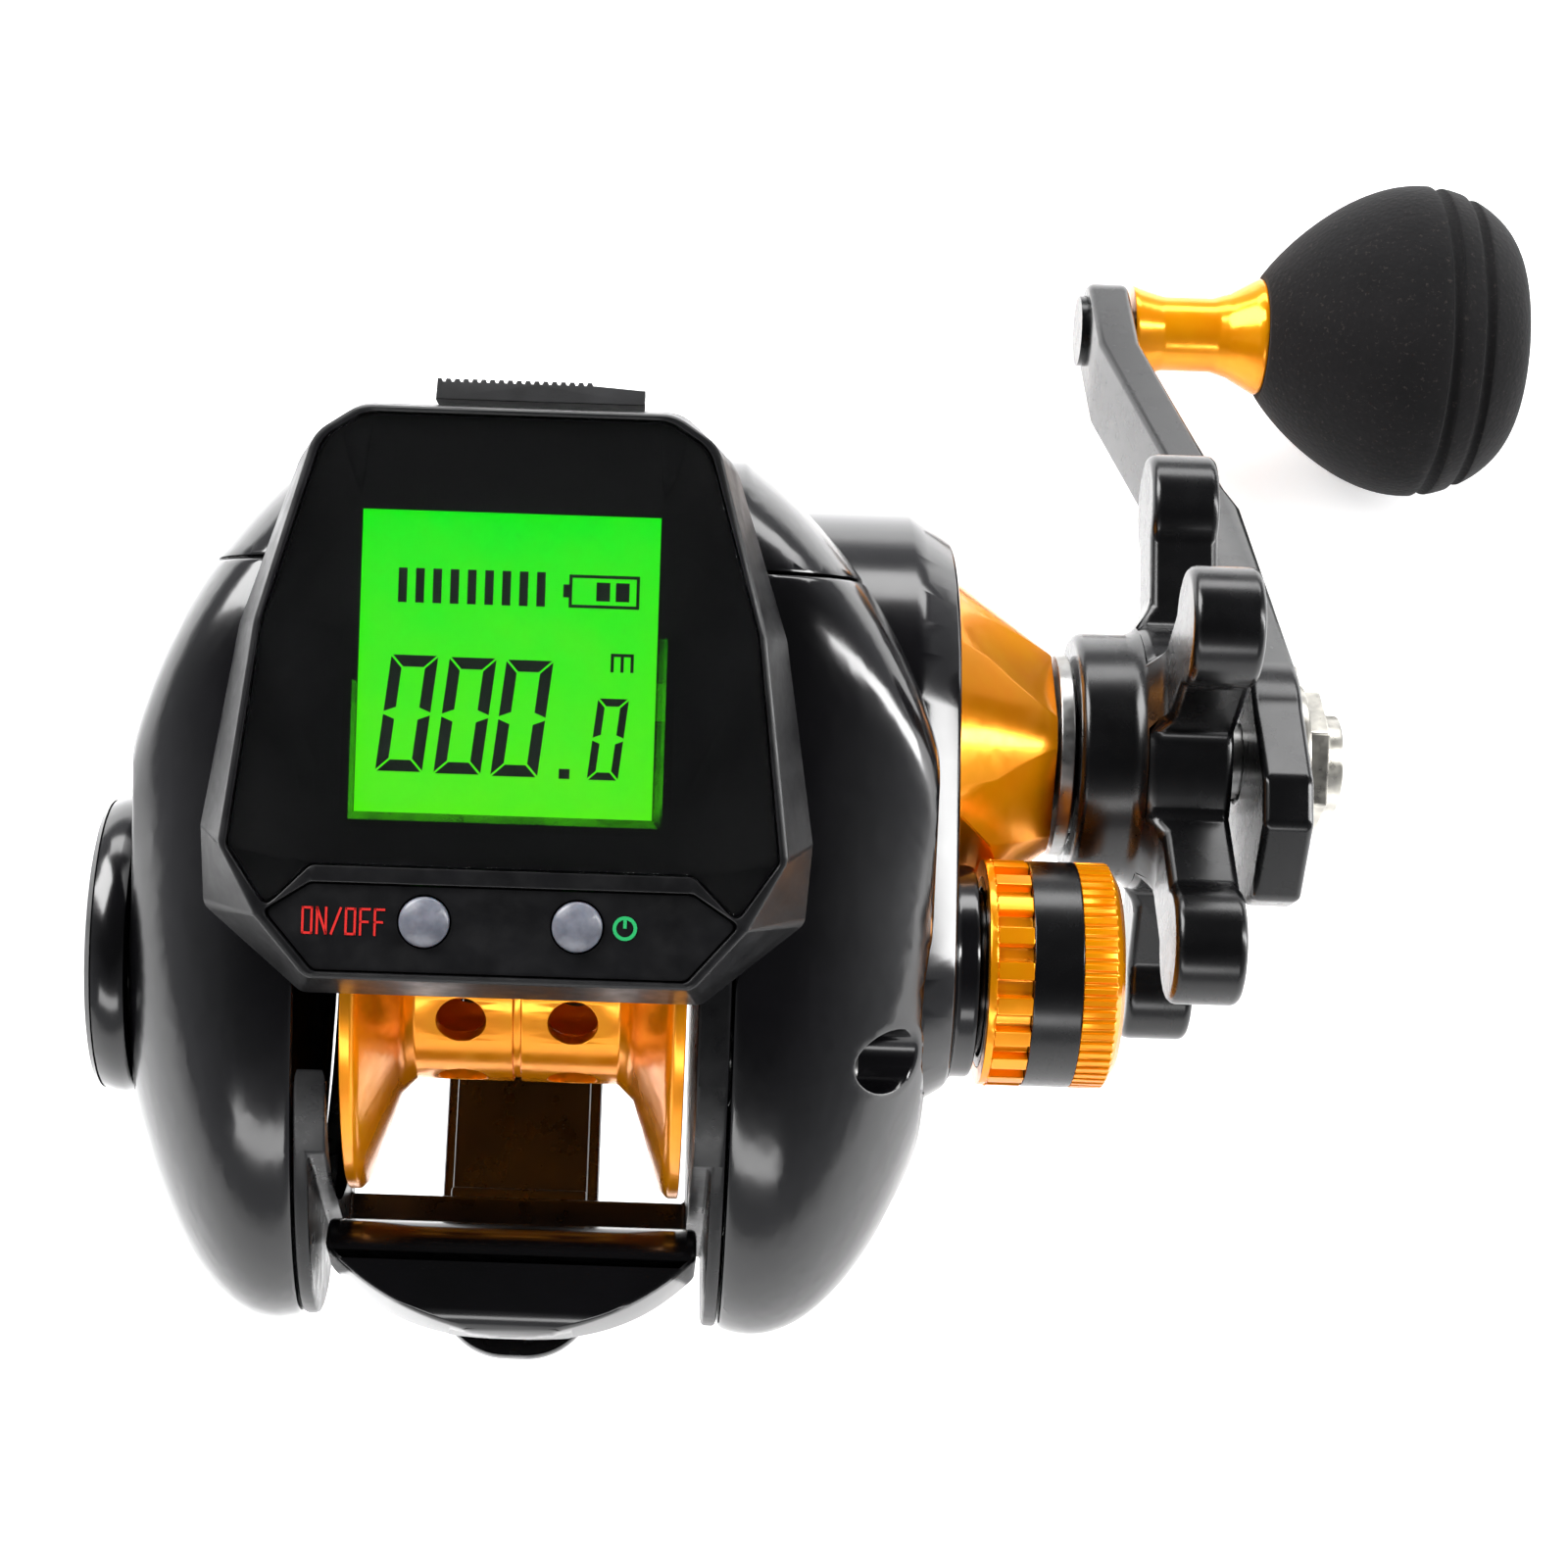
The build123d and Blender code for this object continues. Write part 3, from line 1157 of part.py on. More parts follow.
def make_knob_grip():
    """Pear-shaped foam grip with two ring grooves."""
    bulge = [(KNOB_COLLAR_END_X + along * KNOB_LONG, out * KNOB_R) for along, out in KNOB_SHARES]
    outline = Spline(
        (KNOB_COLLAR_END_X, KNOB_NOSE_R),
        *bulge,
        (KNOB_FOAM_END_X, KNOB_CAP_R + SEAM),
    )
    sketch = make_face([
        outline,
        Line((KNOB_FOAM_END_X, KNOB_CAP_R + SEAM), (KNOB_FOAM_END_X, KNOB_CORE_R)),
        Line((KNOB_FOAM_END_X, KNOB_CORE_R), (KNOB_COLLAR_END_X, KNOB_CORE_R)),
        Line((KNOB_COLLAR_END_X, KNOB_CORE_R), (KNOB_COLLAR_END_X, KNOB_NOSE_R)),
    ])
    grip = revolve(sketch, Axis.X)
    for along, out in KNOB_GROOVE_SHARES:
        ring = Pos(KNOB_COLLAR_END_X + along * KNOB_LONG, out * KNOB_R) * Circle(KNOB_GROOVE)
        grip -= revolve(ring, Axis.X)
    cap_x = KNOB_FOAM_END_X - KNOB_CAP_THICK
    grip -= bar(cap_x, KNOB_FOAM_END_X + OVERRUN, KNOB_CAP_R + SEAM)
    return Pos(0, KNOB_Y, KNOB_Z) * grip


def make_knob_cap():
    """Cap pressed into the end of the foam and the core."""
    cap_x = KNOB_FOAM_END_X - KNOB_CAP_THICK
    cap = bar(cap_x, KNOB_FOAM_END_X, KNOB_CAP_R, KNOB_Y, KNOB_Z)
    return cap + bar(SPINDLE_END_X + KNOB_GAP_X, cap_x, KNOB_CORE_IN_R, KNOB_Y, KNOB_Z)


def make_cast_control_cap():
    """Black barrel that screws over the neck of the housing."""
    points = [
        (CAST_SKIRT_X, CAST_BORE_R),
        (CAST_SKIRT_X, CAST_CORE_R),
        (CAST_RING_END_X, CAST_CORE_R),
        (CAST_RING_END_X, CAST_R),
        (CAST_RIM_X, CAST_R),
        (CAST_RIM_X, CAST_CORE_R),
        (CAST_END_X - SHELL / 2, CAST_CORE_R),
        (CAST_END_X - SHELL / 2, 0),
        (CAST_RIM_X, 0),
        (CAST_RIM_X, CAST_BORE_R),
    ]
    return turned(points)


def make_cast_control_ring():
    """Gold ring with broad teeth and a thin flange."""
    body = bar(CAST_SKIRT_X + CAST_FLANGE, CAST_RING_END_X, CAST_RING_ROOT_R)
    tooth_wide = pi * CAST_R / CAST_TEETH
    tooth = block(
        CAST_SKIRT_X + CAST_FLANGE, CAST_RING_END_X, -tooth_wide / 2, tooth_wide / 2, CAST_CORE_R, CAST_R
    )
    ring = body
    for copy in around(CAST_TEETH, tooth):
        ring += copy
    ring += bar(CAST_SKIRT_X, CAST_SKIRT_X + CAST_FLANGE, CAST_R)
    ring -= bar(0, 2 * CAST_END_X, CAST_CORE_R)
    return ring


def make_cast_control_rim():
    """Gold end cap with a fine knurl and a slight dome."""
    points = [
        (CAST_RIM_X, CAST_CORE_R),
        (CAST_RIM_X, CAST_R),
        (CAST_END_X, CAST_R),
        (CAST_DOME_X, CAST_CORE_R),
        (CAST_DOME_X, 0),
        (CAST_END_X - SHELL / 2, 0),
        (CAST_END_X - SHELL / 2, CAST_CORE_R),
    ]
    rim = turned(points)
    groove = bar(CAST_RIM_X - OVERRUN, CAST_DOME_X + OVERRUN, CAST_RIM_GROOVE_R, CAST_R)
    return rim - around(CAST_RIM_GROOVES, groove)


def make_friction_pad():
    """Disc in the cast control cap that bears on the end of the spool shaft."""
    return bar(SHAFT_RIGHT + SEAM, CAST_RIM_X, PAD_R / 2) + bar(CAST_RIM_X - PAD_THICK, CAST_RIM_X, PAD_R)


def make_brake_dial():
    """Round dial over the spigot, with two pins that carry the magnet ring."""
    points = [
        (DIAL_X, SPIGOT_R + MOVE_GAP),
        (DIAL_X, DIAL_R),
        (DIAL_END_X - DIAL_EDGE, DIAL_R),
        (DIAL_END_X, DIAL_R - DIAL_EDGE),
        (DIAL_END_X, DIAL_DISH_R),
        (DIAL_END_X - DIAL_DISH, DIAL_DISH_R - DIAL_DISH),
        (DIAL_END_X - DIAL_DISH, 0),
        (SPIGOT_END_X + MOVE_GAP, 0),
        (SPIGOT_END_X + MOVE_GAP, SPIGOT_R + MOVE_GAP),
    ]
    dial = turned(points)
    for y in (-DIAL_PIN_AT, DIAL_PIN_AT):
        dial += bar(PALM_BEARING_X + MAGNET_RING_THICK, DIAL_X + SEAM, DIAL_PIN_R, y, 0)
    return to_palm_side(dial)


def make_magnet_holder():
    """Ring behind the plate, with a pocket for each magnet."""
    x = PALM_BEARING_X
    ring = tube(x, x + MAGNET_RING_THICK, MAGNET_RING_OUT_R, MAGNET_RING_IN_R)
    at = (MAGNET_RING_OUT_R + MAGNET_RING_IN_R) / 2
    pocket = bar(x - OVERRUN, x + MAGNET_DEPTH, MAGNET_R, at, 0)
    ring -= around(MAGNETS, pocket)
    return to_palm_side(ring)


def make_brake_magnets():
    at = (MAGNET_RING_OUT_R + MAGNET_RING_IN_R) / 2
    magnet = bar(PALM_BEARING_X, PALM_BEARING_X + MAGNET_DEPTH, MAGNET_R, at, 0)
    return [to_palm_side(copy) for copy in around(MAGNETS, magnet)]


def worm_groove(hand):
    """Cutters for one helical groove, as short straight steps round the worm."""
    length = 2 * (WORM_HALF - WORM_GROOVE_END)
    turns = length / WORM_LEAD
    steps = round(turns * WORM_STEPS)
    round_step = 2 * pi * WORM_R / WORM_STEPS
    stride = hypot(round_step, length / steps) * WORM_OVERLAP_SHARE
    climb = degrees(atan2(WORM_LEAD, 2 * pi * WORM_R))
    cutter = Pos(0, 0, WORM_R) * Rot(0, 0, -hand * climb) * Box(WORM_GROOVE, stride, 2 * WORM_GROOVE_DEPTH)
    cutters = []
    for index in range(steps + 1):
        x = length * (index / steps - 1 / 2)
        turn = hand * 360 * turns * index / steps
        cutters.append(Pos(x, WORM_Y, WORM_Z) * Rot(turn, 0, 0) * cutter)
    return cutters


def make_worm_shaft():
    """Cross-grooved shaft with a journal at each end."""
    worm = bar(-WORM_HALF, WORM_HALF, WORM_R, WORM_Y, WORM_Z)
    worm -= worm_groove(1)
    worm -= worm_groove(-1)
    journals = bar(-WALL_OUTER_X, WORM_DRIVE_X + WORM_GEAR_WIDTH, WORM_JOURNAL_R, WORM_Y, WORM_Z)
    return worm + journals


def make_guide_rod():
    return bar(-WALL_OUTER_X, WALL_OUTER_X, GUIDE_ROD_R, GUIDE_ROD_Y, GUIDE_ROD_Z)


def make_line_guide():
    """Carriage on the worm and the guide rod, with the upright that leads the line."""
    sleeve_r = WORM_R + RUN_GAP + GUIDE_SLEEVE_WALL
    guide = bar(-GUIDE_HALF, GUIDE_HALF, sleeve_r, WORM_Y, WORM_Z)
    rod_r = GUIDE_ROD_R + RUN_GAP + GUIDE_SLEEVE_WALL
    guide += bar(-GUIDE_HALF, GUIDE_HALF, rod_r, GUIDE_ROD_Y, GUIDE_ROD_Z)
    guide += block(
        -GUIDE_HALF, GUIDE_HALF, GUIDE_PLATE_Y, GUIDE_PLATE_Y + GUIDE_PLATE_THICK, GUIDE_ROD_Z, GUIDE_TOP_Z
    )
    guide += block(-GUIDE_HALF, GUIDE_HALF, WORM_Y, GUIDE_PLATE_Y + SEAM, WORM_Z - WORM_R, WORM_Z + WORM_R)
    guide += bar_up(WORM_Y, WORM_Z - sleeve_r - GUIDE_SLEEVE_WALL, WORM_Z, PAWL_R + GUIDE_SLEEVE_WALL)
    half = GUIDE_SLOT_HALF + GUIDE_INSERT_WALL
    guide -= block(
        -half, half, GUIDE_PLATE_Y - OVERRUN, GUIDE_PLATE_Y + GUIDE_PLATE_THICK + OVERRUN,
        GUIDE_SLOT_LOW_Z - GUIDE_INSERT_WALL, GUIDE_SLOT_TOP_Z + GUIDE_INSERT_WALL,
    )
    past = GUIDE_HALF + OVERRUN
    guide -= bar(-past, past, WORM_R + RUN_GAP, WORM_Y, WORM_Z)
    guide -= bar(-past, past, GUIDE_ROD_R + RUN_GAP, GUIDE_ROD_Y, GUIDE_ROD_Z)
    guide -= bar_up(WORM_Y, WORM_Z - 2 * sleeve_r, WORM_Z, PAWL_R)
    return guide


def bar_up(y, z0, z1, radius):
    """Solid round bar along Z in the middle plane."""
    return Pos(0, y, z0) * Cylinder(radius, z1 - z0, align=(Align.CENTER, Align.CENTER, Align.MIN))


def make_guide_insert():
    """Smooth liner of the slot that the line runs through."""
    half = GUIDE_SLOT_HALF + GUIDE_INSERT_WALL
    low = GUIDE_SLOT_LOW_Z - GUIDE_INSERT_WALL
    top = GUIDE_SLOT_TOP_Z + GUIDE_INSERT_WALL
    front = GUIDE_PLATE_Y + GUIDE_PLATE_THICK
    liner = block(-half, half, GUIDE_PLATE_Y, front, low, top)
    lip = GUIDE_INSERT_WALL
    liner += block(-half - lip, half + lip, front, front + lip, low - lip, top + lip)
    liner -= block(
        -GUIDE_SLOT_HALF, GUIDE_SLOT_HALF, GUIDE_PLATE_Y - OVERRUN, front + OVERRUN,
        GUIDE_SLOT_LOW_Z, GUIDE_SLOT_TOP_Z,
    )
    return liner


def make_guide_pawl():
    """Pawl under the worm, in the carriage."""
    low = WORM_Z - WORM_R - RUN_GAP - 2 * GUIDE_SLEEVE_WALL
    return bar_up(WORM_Y, low, WORM_Z - WORM_R - RUN_GAP, PAWL_R) - bar(
        -OVERRUN, OVERRUN, WORM_R + RUN_GAP, WORM_Y, WORM_Z
    )


def make_thumb_bar():
    """Bar under the thumb, bowed out behind in plan and rounded in section."""
    section = Rectangle(2 * THUMB_R, THUMB_DEEP)
    section = fillet(section.vertices(), THUMB_ROUND)
    blank = Pos(0, -THUMB_Y, -THUMB_Z) * Rot(THUMB_LEAN, 0, 0) * slab(-THUMB_HALF, THUMB_HALF, section)
    bow_r = (THUMB_HALF ** 2 + THUMB_BOW ** 2) / (2 * THUMB_BOW)
    rear = -THUMB_Y - THUMB_R
    bow = Pos(0, rear + bow_r, -THUMB_Z) * Cylinder(bow_r, 4 * THUMB_R)
    return blank & bow


def make_clutch_cam():
    """Ring that lifts the yoke when the thumb bar is pressed."""
    ring = tube(CAM_X, CAM_X + CAM_THICK, CAM_OUT_R, CAM_IN_R)
    top = CAM_X + CAM_THICK
    bump = bar(top - SEAM, top + CAM_BUMP, CAM_BUMP_R, (CAM_IN_R + CAM_OUT_R) / 2, 0)
    ring += bump
    ring += Rot(180, 0, 0) * bump
    return ring


def make_clutch_yoke():
    """Plate that holds the pinion by its neck and slides on two posts."""
    outline = RectangleRounded(2 * YOKE_HALF_Y, 2 * (POST_AT + POST_EDGE), YOKE_HALF_Y / 2)
    plate = slab(YOKE_X, YOKE_X + YOKE_THICK, outline)
    neck = PINION_NECK_R + MOVE_GAP / 2
    plate -= bar(0, DRUM_FACE_X, neck)
    plate -= block(YOKE_X - OVERRUN, YOKE_X + OVERRUN, -YOKE_HALF_Y - OVERRUN, 0, -neck, neck)
    for z in (-POST_AT, POST_AT):
        plate -= bar(0, DRUM_FACE_X, POST_R + RUN_GAP, 0, z)
    return plate


def make_yoke_posts():
    posts = []
    for z in (-POST_AT, POST_AT):
        post = bar(WALL_INNER_X + SEAM, POST_END_X, POST_R, 0, z)
        post += bar(POST_END_X, POST_END_X + POST_HEAD, POST_HEAD_R, 0, z)
        posts.append(post)
    return posts


def face_sketch(shares, gap=0.0):
    """Outline on the display face from shares of the case's size, grown by a gap."""
    half = [(across * CASE_HALF, up * CASE_LONG) for across, up in shares]
    outline = polygon(mirrored(half))
    return offset(outline, gap) if gap else outline


def case_room(gap=0.0):
    """Outline of the room inside the case."""
    return face_sketch(WINDOW_SHARES[:-1] + PANEL_SHARES[1:], -CASE_WALL - gap)


def make_display_housing():
    """Upper half of the display case, bevelled all round."""
    base = on_face(face_sketch(CASE_BASE_SHARES), CASE_W)
    rim = on_face(face_sketch(CASE_RIM_SHARES), FACE_W)
    case = loft([base, rim], ruled=True)
    ceiling = FACE_W - WINDOW_THICK - MASK_THICK
    case -= extrude(on_face(case_room(), CASE_W - OVERRUN), ceiling - CASE_WALL - CASE_W + OVERRUN)
    case -= extrude(on_face(face_sketch(WINDOW_SHARES, SEAM), ceiling), OVERRUN + WINDOW_THICK)
    panel_low = FACE_W - PANEL_DROP - PANEL_THICK
    case -= extrude(on_face(face_sketch(PANEL_SHARES, SEAM), panel_low), OVERRUN + PANEL_THICK)
    opening = Pos(0, LCD_CENTRE_V) * Rectangle(LCD_WIDE + 2 * LCD_MARGIN, LCD_HIGH + 2 * LCD_MARGIN)
    case -= extrude(on_face(opening, CASE_W), FACE_W)
    for across in (-BUTTON_ACROSS, BUTTON_ACROSS):
        hole = Pos(across, BUTTON_V) * Circle(BUTTON_FLANGE_R + MOVE_GAP)
        case -= extrude(on_face(hole, CASE_W - OVERRUN), FACE_W)
    return case


def make_display_base():
    """Lower half of the case: a lid under the rim and a tray for the battery."""
    lid = extrude(on_face(case_room(SEAM), CASE_W - SEAM), LID_THICK)
    tray = face_block(2 * TRAY_HALF, TRAY_V, TRAY_FRONT_V, TRAY_W, CASE_W - SEAM)
    base = lid + tray
    inside = 2 * (TRAY_HALF - TRAY_WALL)
    base -= face_block(
        inside, TRAY_V + TRAY_WALL, TRAY_FRONT_V - TRAY_WALL, TRAY_W + TRAY_WALL, FACE_W
    )
    port_middle = (PORT_COVER_LOW_W + PORT_COVER_TOP_W) / 2
    base -= face_block(
        PORT_WIDE + SEAM, TRAY_FRONT_V - PORT_DEEP, TRAY_FRONT_V + OVERRUN,
        port_middle - PORT_HIGH / 2 - SEAM, port_middle + PORT_HIGH / 2 + SEAM, PORT_SHIFT,
    )
    return base


def make_display_window():
    """Clear window plate, flush with the rim of the case."""
    sketch = face_sketch(WINDOW_SHARES)
    return extrude(on_face(sketch, FACE_W - WINDOW_THICK), WINDOW_THICK)


def make_window_mask():
    """Black mask under the window, open over the panel."""
    opening = Pos(0, LCD_CENTRE_V) * Rectangle(LCD_WIDE + 2 * MASK_MARGIN, LCD_HIGH + 2 * MASK_MARGIN)
    low = FACE_W - WINDOW_THICK - MASK_THICK
    return extrude(on_face(face_sketch(WINDOW_SHARES) - opening, low), MASK_THICK)


def make_lcd_panel():
    """Liquid crystal panel with its light box."""
    top = FACE_W - WINDOW_THICK - MASK_THICK
    return face_block(
        LCD_WIDE + LCD_MARGIN, LCD_CENTRE_V - (LCD_HIGH + LCD_MARGIN) / 2,
        LCD_CENTRE_V + (LCD_HIGH + LCD_MARGIN) / 2, top - LCD_THICK, top,
    )


def make_circuit_board():
    """Board under the panel, with a soldered push switch under each button."""
    wide = 2 * (BUTTON_ACROSS + SWITCH_SIZE)
    long = LCD_CENTRE_V + LCD_HIGH / 2 - BUTTON_V + SWITCH_SIZE
    low = BUTTON_V - SWITCH_SIZE / 2 - SEAM
    board = face_block(wide, low, low + long, BOARD_W, BOARD_W + BOARD_THICK)
    half = SWITCH_SIZE / 2
    top = button_low() - BUTTON_TRAVEL - SEAM
    for across in (-BUTTON_ACROSS, BUTTON_ACROSS):
        board += face_block(SWITCH_SIZE, BUTTON_V - half, BUTTON_V + half, BOARD_W, top, across)
    return board


def button_low():
    """Height of the underside of a button's flange."""
    return FACE_W - PANEL_DROP - PANEL_THICK - BUTTON_FLANGE - SEAM


def make_battery():
    rear = TRAY_V + TRAY_WALL + SEAM
    low = TRAY_W + TRAY_WALL
    return face_block(BATTERY_WIDE, rear, rear + BATTERY_LONG, low, low + BATTERY_THICK)


def make_charge_port():
    """Metal shell of the charging socket."""
    middle = (PORT_COVER_LOW_W + PORT_COVER_TOP_W) / 2
    outer = face_block(
        PORT_WIDE, TRAY_FRONT_V - PORT_DEEP, TRAY_FRONT_V - SEAM,
        middle - PORT_HIGH / 2, middle + PORT_HIGH / 2, PORT_SHIFT,
    )
    lip = PORT_RIB_DEPTH
    inner = face_block(
        PORT_WIDE - 2 * lip, TRAY_FRONT_V - PORT_DEEP + lip, TRAY_FRONT_V + OVERRUN,
        middle - PORT_HIGH / 2 + lip, middle + PORT_HIGH / 2 - lip, PORT_SHIFT,
    )
    return outer - inner


def make_port_cover():
    """Ribbed rubber flap over the charging socket."""
    low_v = CASE_LONG + MOVE_GAP
    flap = face_block(
        PORT_COVER_WIDE, low_v, low_v + PORT_COVER_THICK, PORT_COVER_LOW_W, PORT_COVER_TOP_W, PORT_SHIFT
    )
    pitch = PORT_COVER_WIDE / (2 * PORT_RIBS + 1)
    for index in range(PORT_RIBS):
        across = PORT_SHIFT - PORT_COVER_WIDE / 2 + pitch * (2 * index + 1.5)
        flap -= face_block(
            pitch, low_v + PORT_COVER_THICK - PORT_RIB_DEPTH, low_v + PORT_COVER_THICK + OVERRUN,
            PORT_COVER_LOW_W - OVERRUN, PORT_COVER_TOP_W + OVERRUN, across,
        )
    return flap


def make_button_panel():
    """Strip below the window with the two button holes."""
    low = FACE_W - PANEL_DROP - PANEL_THICK
    panel = extrude(on_face(face_sketch(PANEL_SHARES), low), PANEL_THICK)
    for across in (-BUTTON_ACROSS, BUTTON_ACROSS):
        hole = Pos(across, BUTTON_V) * Circle(BUTTON_R + MOVE_GAP / 2)
        panel -= extrude(on_face(hole, CASE_W), FACE_W)
    return panel


def push_button(across):
    """Domed button with a flange under the panel."""
    low = button_low()
    place = FACE.offset(low) * Pos(across, BUTTON_V)
    rise = FACE_W - PANEL_DROP + BUTTON_PROUD - low
    crown = BUTTON_PROUD / 2
    half = [
        (0, 0),
        (BUTTON_FLANGE_R, 0),
        (BUTTON_FLANGE_R, BUTTON_FLANGE),
        (BUTTON_R, BUTTON_FLANGE),
        (BUTTON_R, rise - crown),
        (BUTTON_R / 2, rise - crown / 4),
        (0, rise),
    ]
    button = revolve(Plane.XZ * polygon(half), Axis.Z)
    return place * button


def make_spool_sensor():
    """Pick-up under the case that counts the spool's turns."""
    top = CASE_W - SEAM
    front = TRAY_V - SEAM
    return face_block(
        SENSOR_WIDE, front - SENSOR_HIGH, front, top - SENSOR_THICK, top, SENSOR_ACROSS
    )


def make_side_plate_screws():
    """Slotted screws that hold the handle side plate to the frame."""
    screws = []
    for y, z in SCREW_PLACES:
        screw = bar(WALL_INNER_X + SEAM, SCREW_SEAT_X, SCREW_R, y, z)
        screw += bar(SCREW_SEAT_X, SCREW_SEAT_X + SCREW_HEAD, SCREW_HEAD_R, y, z)
        screw -= block(
            SCREW_SEAT_X + SCREW_HEAD / 2, SCREW_SEAT_X + 2 * SCREW_HEAD,
            y - SCREW_SLOT / 2, y + SCREW_SLOT / 2, z - OVERRUN, z + OVERRUN,
        )
        screws.append(screw)
    return screws


PIECES = {
    "frame": make_frame,
    "reel_foot": make_reel_foot,
    "foot_screws": make_foot_screws,
    "palm_side_plate": make_palm_side_plate,
    "handle_side_plate": make_handle_side_plate,
    "gear_housing": make_gear_housing,
    "bearing_cone": make_bearing_cone,
    "front_cover": make_front_cover,
    "side_plate_screws": make_side_plate_screws,
    "display_housing": make_display_housing,
    "display_base": make_display_base,
    "display_window": make_display_window,
    "window_mask": make_window_mask,
    "lcd_panel": make_lcd_panel,
    "circuit_board": make_circuit_board,
    "battery": make_battery,
    "charge_port": make_charge_port,
    "port_cover": make_port_cover,
    "button_panel": make_button_panel,
    "power_button": lambda: push_button(-BUTTON_ACROSS),
    "set_button": lambda: push_button(BUTTON_ACROSS),
    "spool_sensor": make_spool_sensor,
    "spool": make_spool,
    "spool_shaft": make_spool_shaft,
    "spool_bearings": make_spool_bearings,
    "pinion_gear": make_pinion_gear,
    "drive_gear": make_drive_gear,
    "drag_washers": make_drag_washers,
    "level_wind_gear": make_level_wind_gear,
    "drive_shaft": make_drive_shaft,
    "one_way_bearing": make_one_way_bearing,
    "shaft_sleeve": make_shaft_sleeve,
    "star_drag": make_star_drag,
    "drag_springs": make_drag_springs,
    "handle_arm": make_handle_arm,
    "handle_nut": make_handle_nut,
    "nut_retainer": make_nut_retainer,
    "retainer_screw": make_retainer_screw,
    "knob_spindle": make_knob_spindle,
    "knob_collar": make_knob_collar,
    "knob_bearings": make_knob_bearings,
    "knob_grip": make_knob_grip,
    "knob_cap": make_knob_cap,
    "cast_control_cap": make_cast_control_cap,
    "cast_control_ring": make_cast_control_ring,
    "cast_control_rim": make_cast_control_rim,
    "friction_pad": make_friction_pad,
    "brake_dial": make_brake_dial,
    "magnet_holder": make_magnet_holder,
    "brake_magnets": make_brake_magnets,
    "worm_shaft": make_worm_shaft,
    "worm_gear": make_worm_gear,
    "guide_rod": make_guide_rod,
    "line_guide": make_line_guide,
    "guide_insert": make_guide_insert,
    "guide_pawl": make_guide_pawl,
    "thumb_bar": make_thumb_bar,
    "clutch_cam": make_clutch_cam,
    "clutch_yoke": make_clutch_yoke,
    "yoke_posts": make_yoke_posts,
}


def lifted(shape):
    return Pos(0, 0, SPOOL_AXIS_HEIGHT) * shape


os.makedirs("parts", exist_ok=True)
for name, make in PIECES.items():
    made = make()
    solids = made if isinstance(made, list) else [made]
    group = Compound(children=[lifted(solid) for solid in solids]) if len(solids) > 1 else lifted(solids[0])
    export_step(group, f"parts/{name}.step")
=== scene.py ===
"""Looks of a digital baitcasting reel, built round its construction model."""
import json
from math import cos, pi, radians, sin, tan

import bmesh
import bpy
from mathutils import Matrix, Vector


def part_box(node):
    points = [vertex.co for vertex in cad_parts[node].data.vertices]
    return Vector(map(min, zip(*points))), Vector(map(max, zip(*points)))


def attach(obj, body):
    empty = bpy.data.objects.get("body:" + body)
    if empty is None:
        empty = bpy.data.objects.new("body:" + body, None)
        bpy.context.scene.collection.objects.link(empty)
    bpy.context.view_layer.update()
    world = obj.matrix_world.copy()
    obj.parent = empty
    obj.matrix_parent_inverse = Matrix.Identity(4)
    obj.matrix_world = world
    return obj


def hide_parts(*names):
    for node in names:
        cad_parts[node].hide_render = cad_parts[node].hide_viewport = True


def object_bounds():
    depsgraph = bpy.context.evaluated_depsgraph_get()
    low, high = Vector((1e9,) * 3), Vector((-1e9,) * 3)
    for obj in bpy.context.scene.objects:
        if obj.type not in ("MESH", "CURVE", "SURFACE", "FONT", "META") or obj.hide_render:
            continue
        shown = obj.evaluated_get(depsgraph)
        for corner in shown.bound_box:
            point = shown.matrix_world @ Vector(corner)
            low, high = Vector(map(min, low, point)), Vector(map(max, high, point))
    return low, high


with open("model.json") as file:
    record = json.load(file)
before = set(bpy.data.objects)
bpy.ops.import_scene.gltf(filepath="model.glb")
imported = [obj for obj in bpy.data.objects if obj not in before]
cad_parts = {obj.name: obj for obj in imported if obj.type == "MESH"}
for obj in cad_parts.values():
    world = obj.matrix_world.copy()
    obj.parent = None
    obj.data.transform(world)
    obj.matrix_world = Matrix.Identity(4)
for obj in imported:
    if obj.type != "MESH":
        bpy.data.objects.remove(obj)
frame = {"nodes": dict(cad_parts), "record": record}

bl_info = {
    "name": "Digital baitcasting reel",
    "version": (1, 0, 0),
    "blender": (4, 5, 0),
    "location": "View3D > Sidebar > Reel",
    "description": "Builds the finished look of a digital baitcasting reel round its construction model",
    "category": "Object",
}

MM = 0.001
CAD_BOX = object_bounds()
BODIES = frame["record"]["behaviour"]["bodies"]
BODY_OF = {node: body for body, nodes in BODIES.items() for node in nodes}
SLOT_OF = {part["node"]: part["material_slot"] for part in frame["record"]["subparts"]}


def middle(node):
    """Centre of a node's box at rest."""
    low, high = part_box(node)
    return (low + high) / 2


SPOOL = middle("spool")
DRIVE = middle("shaft_sleeve")


# Modelling

JOIN_GAP = 0.002 * MM  # points of the construction mesh nearer than this are one
SEAM_GAP = 0.001 * MM
FLAT_ANGLE = radians(0.4)
SHARP_ANGLE = 32.0  # degrees
STRAIGHT = 0.02  # a bend this near to none, in radians, is left as it is
CORNER_SHARE = 0.46  # of a side, at most, goes into one rounded corner
MITRE_LIMIT = 0.3
OUTLINE_STEPS = 5
HOLE_STEPS = 48
TURN_STEPS = 140
FINE_STEPS = 2

# Display face: corners as shares of the case's half width and length, and levels above the spool axis

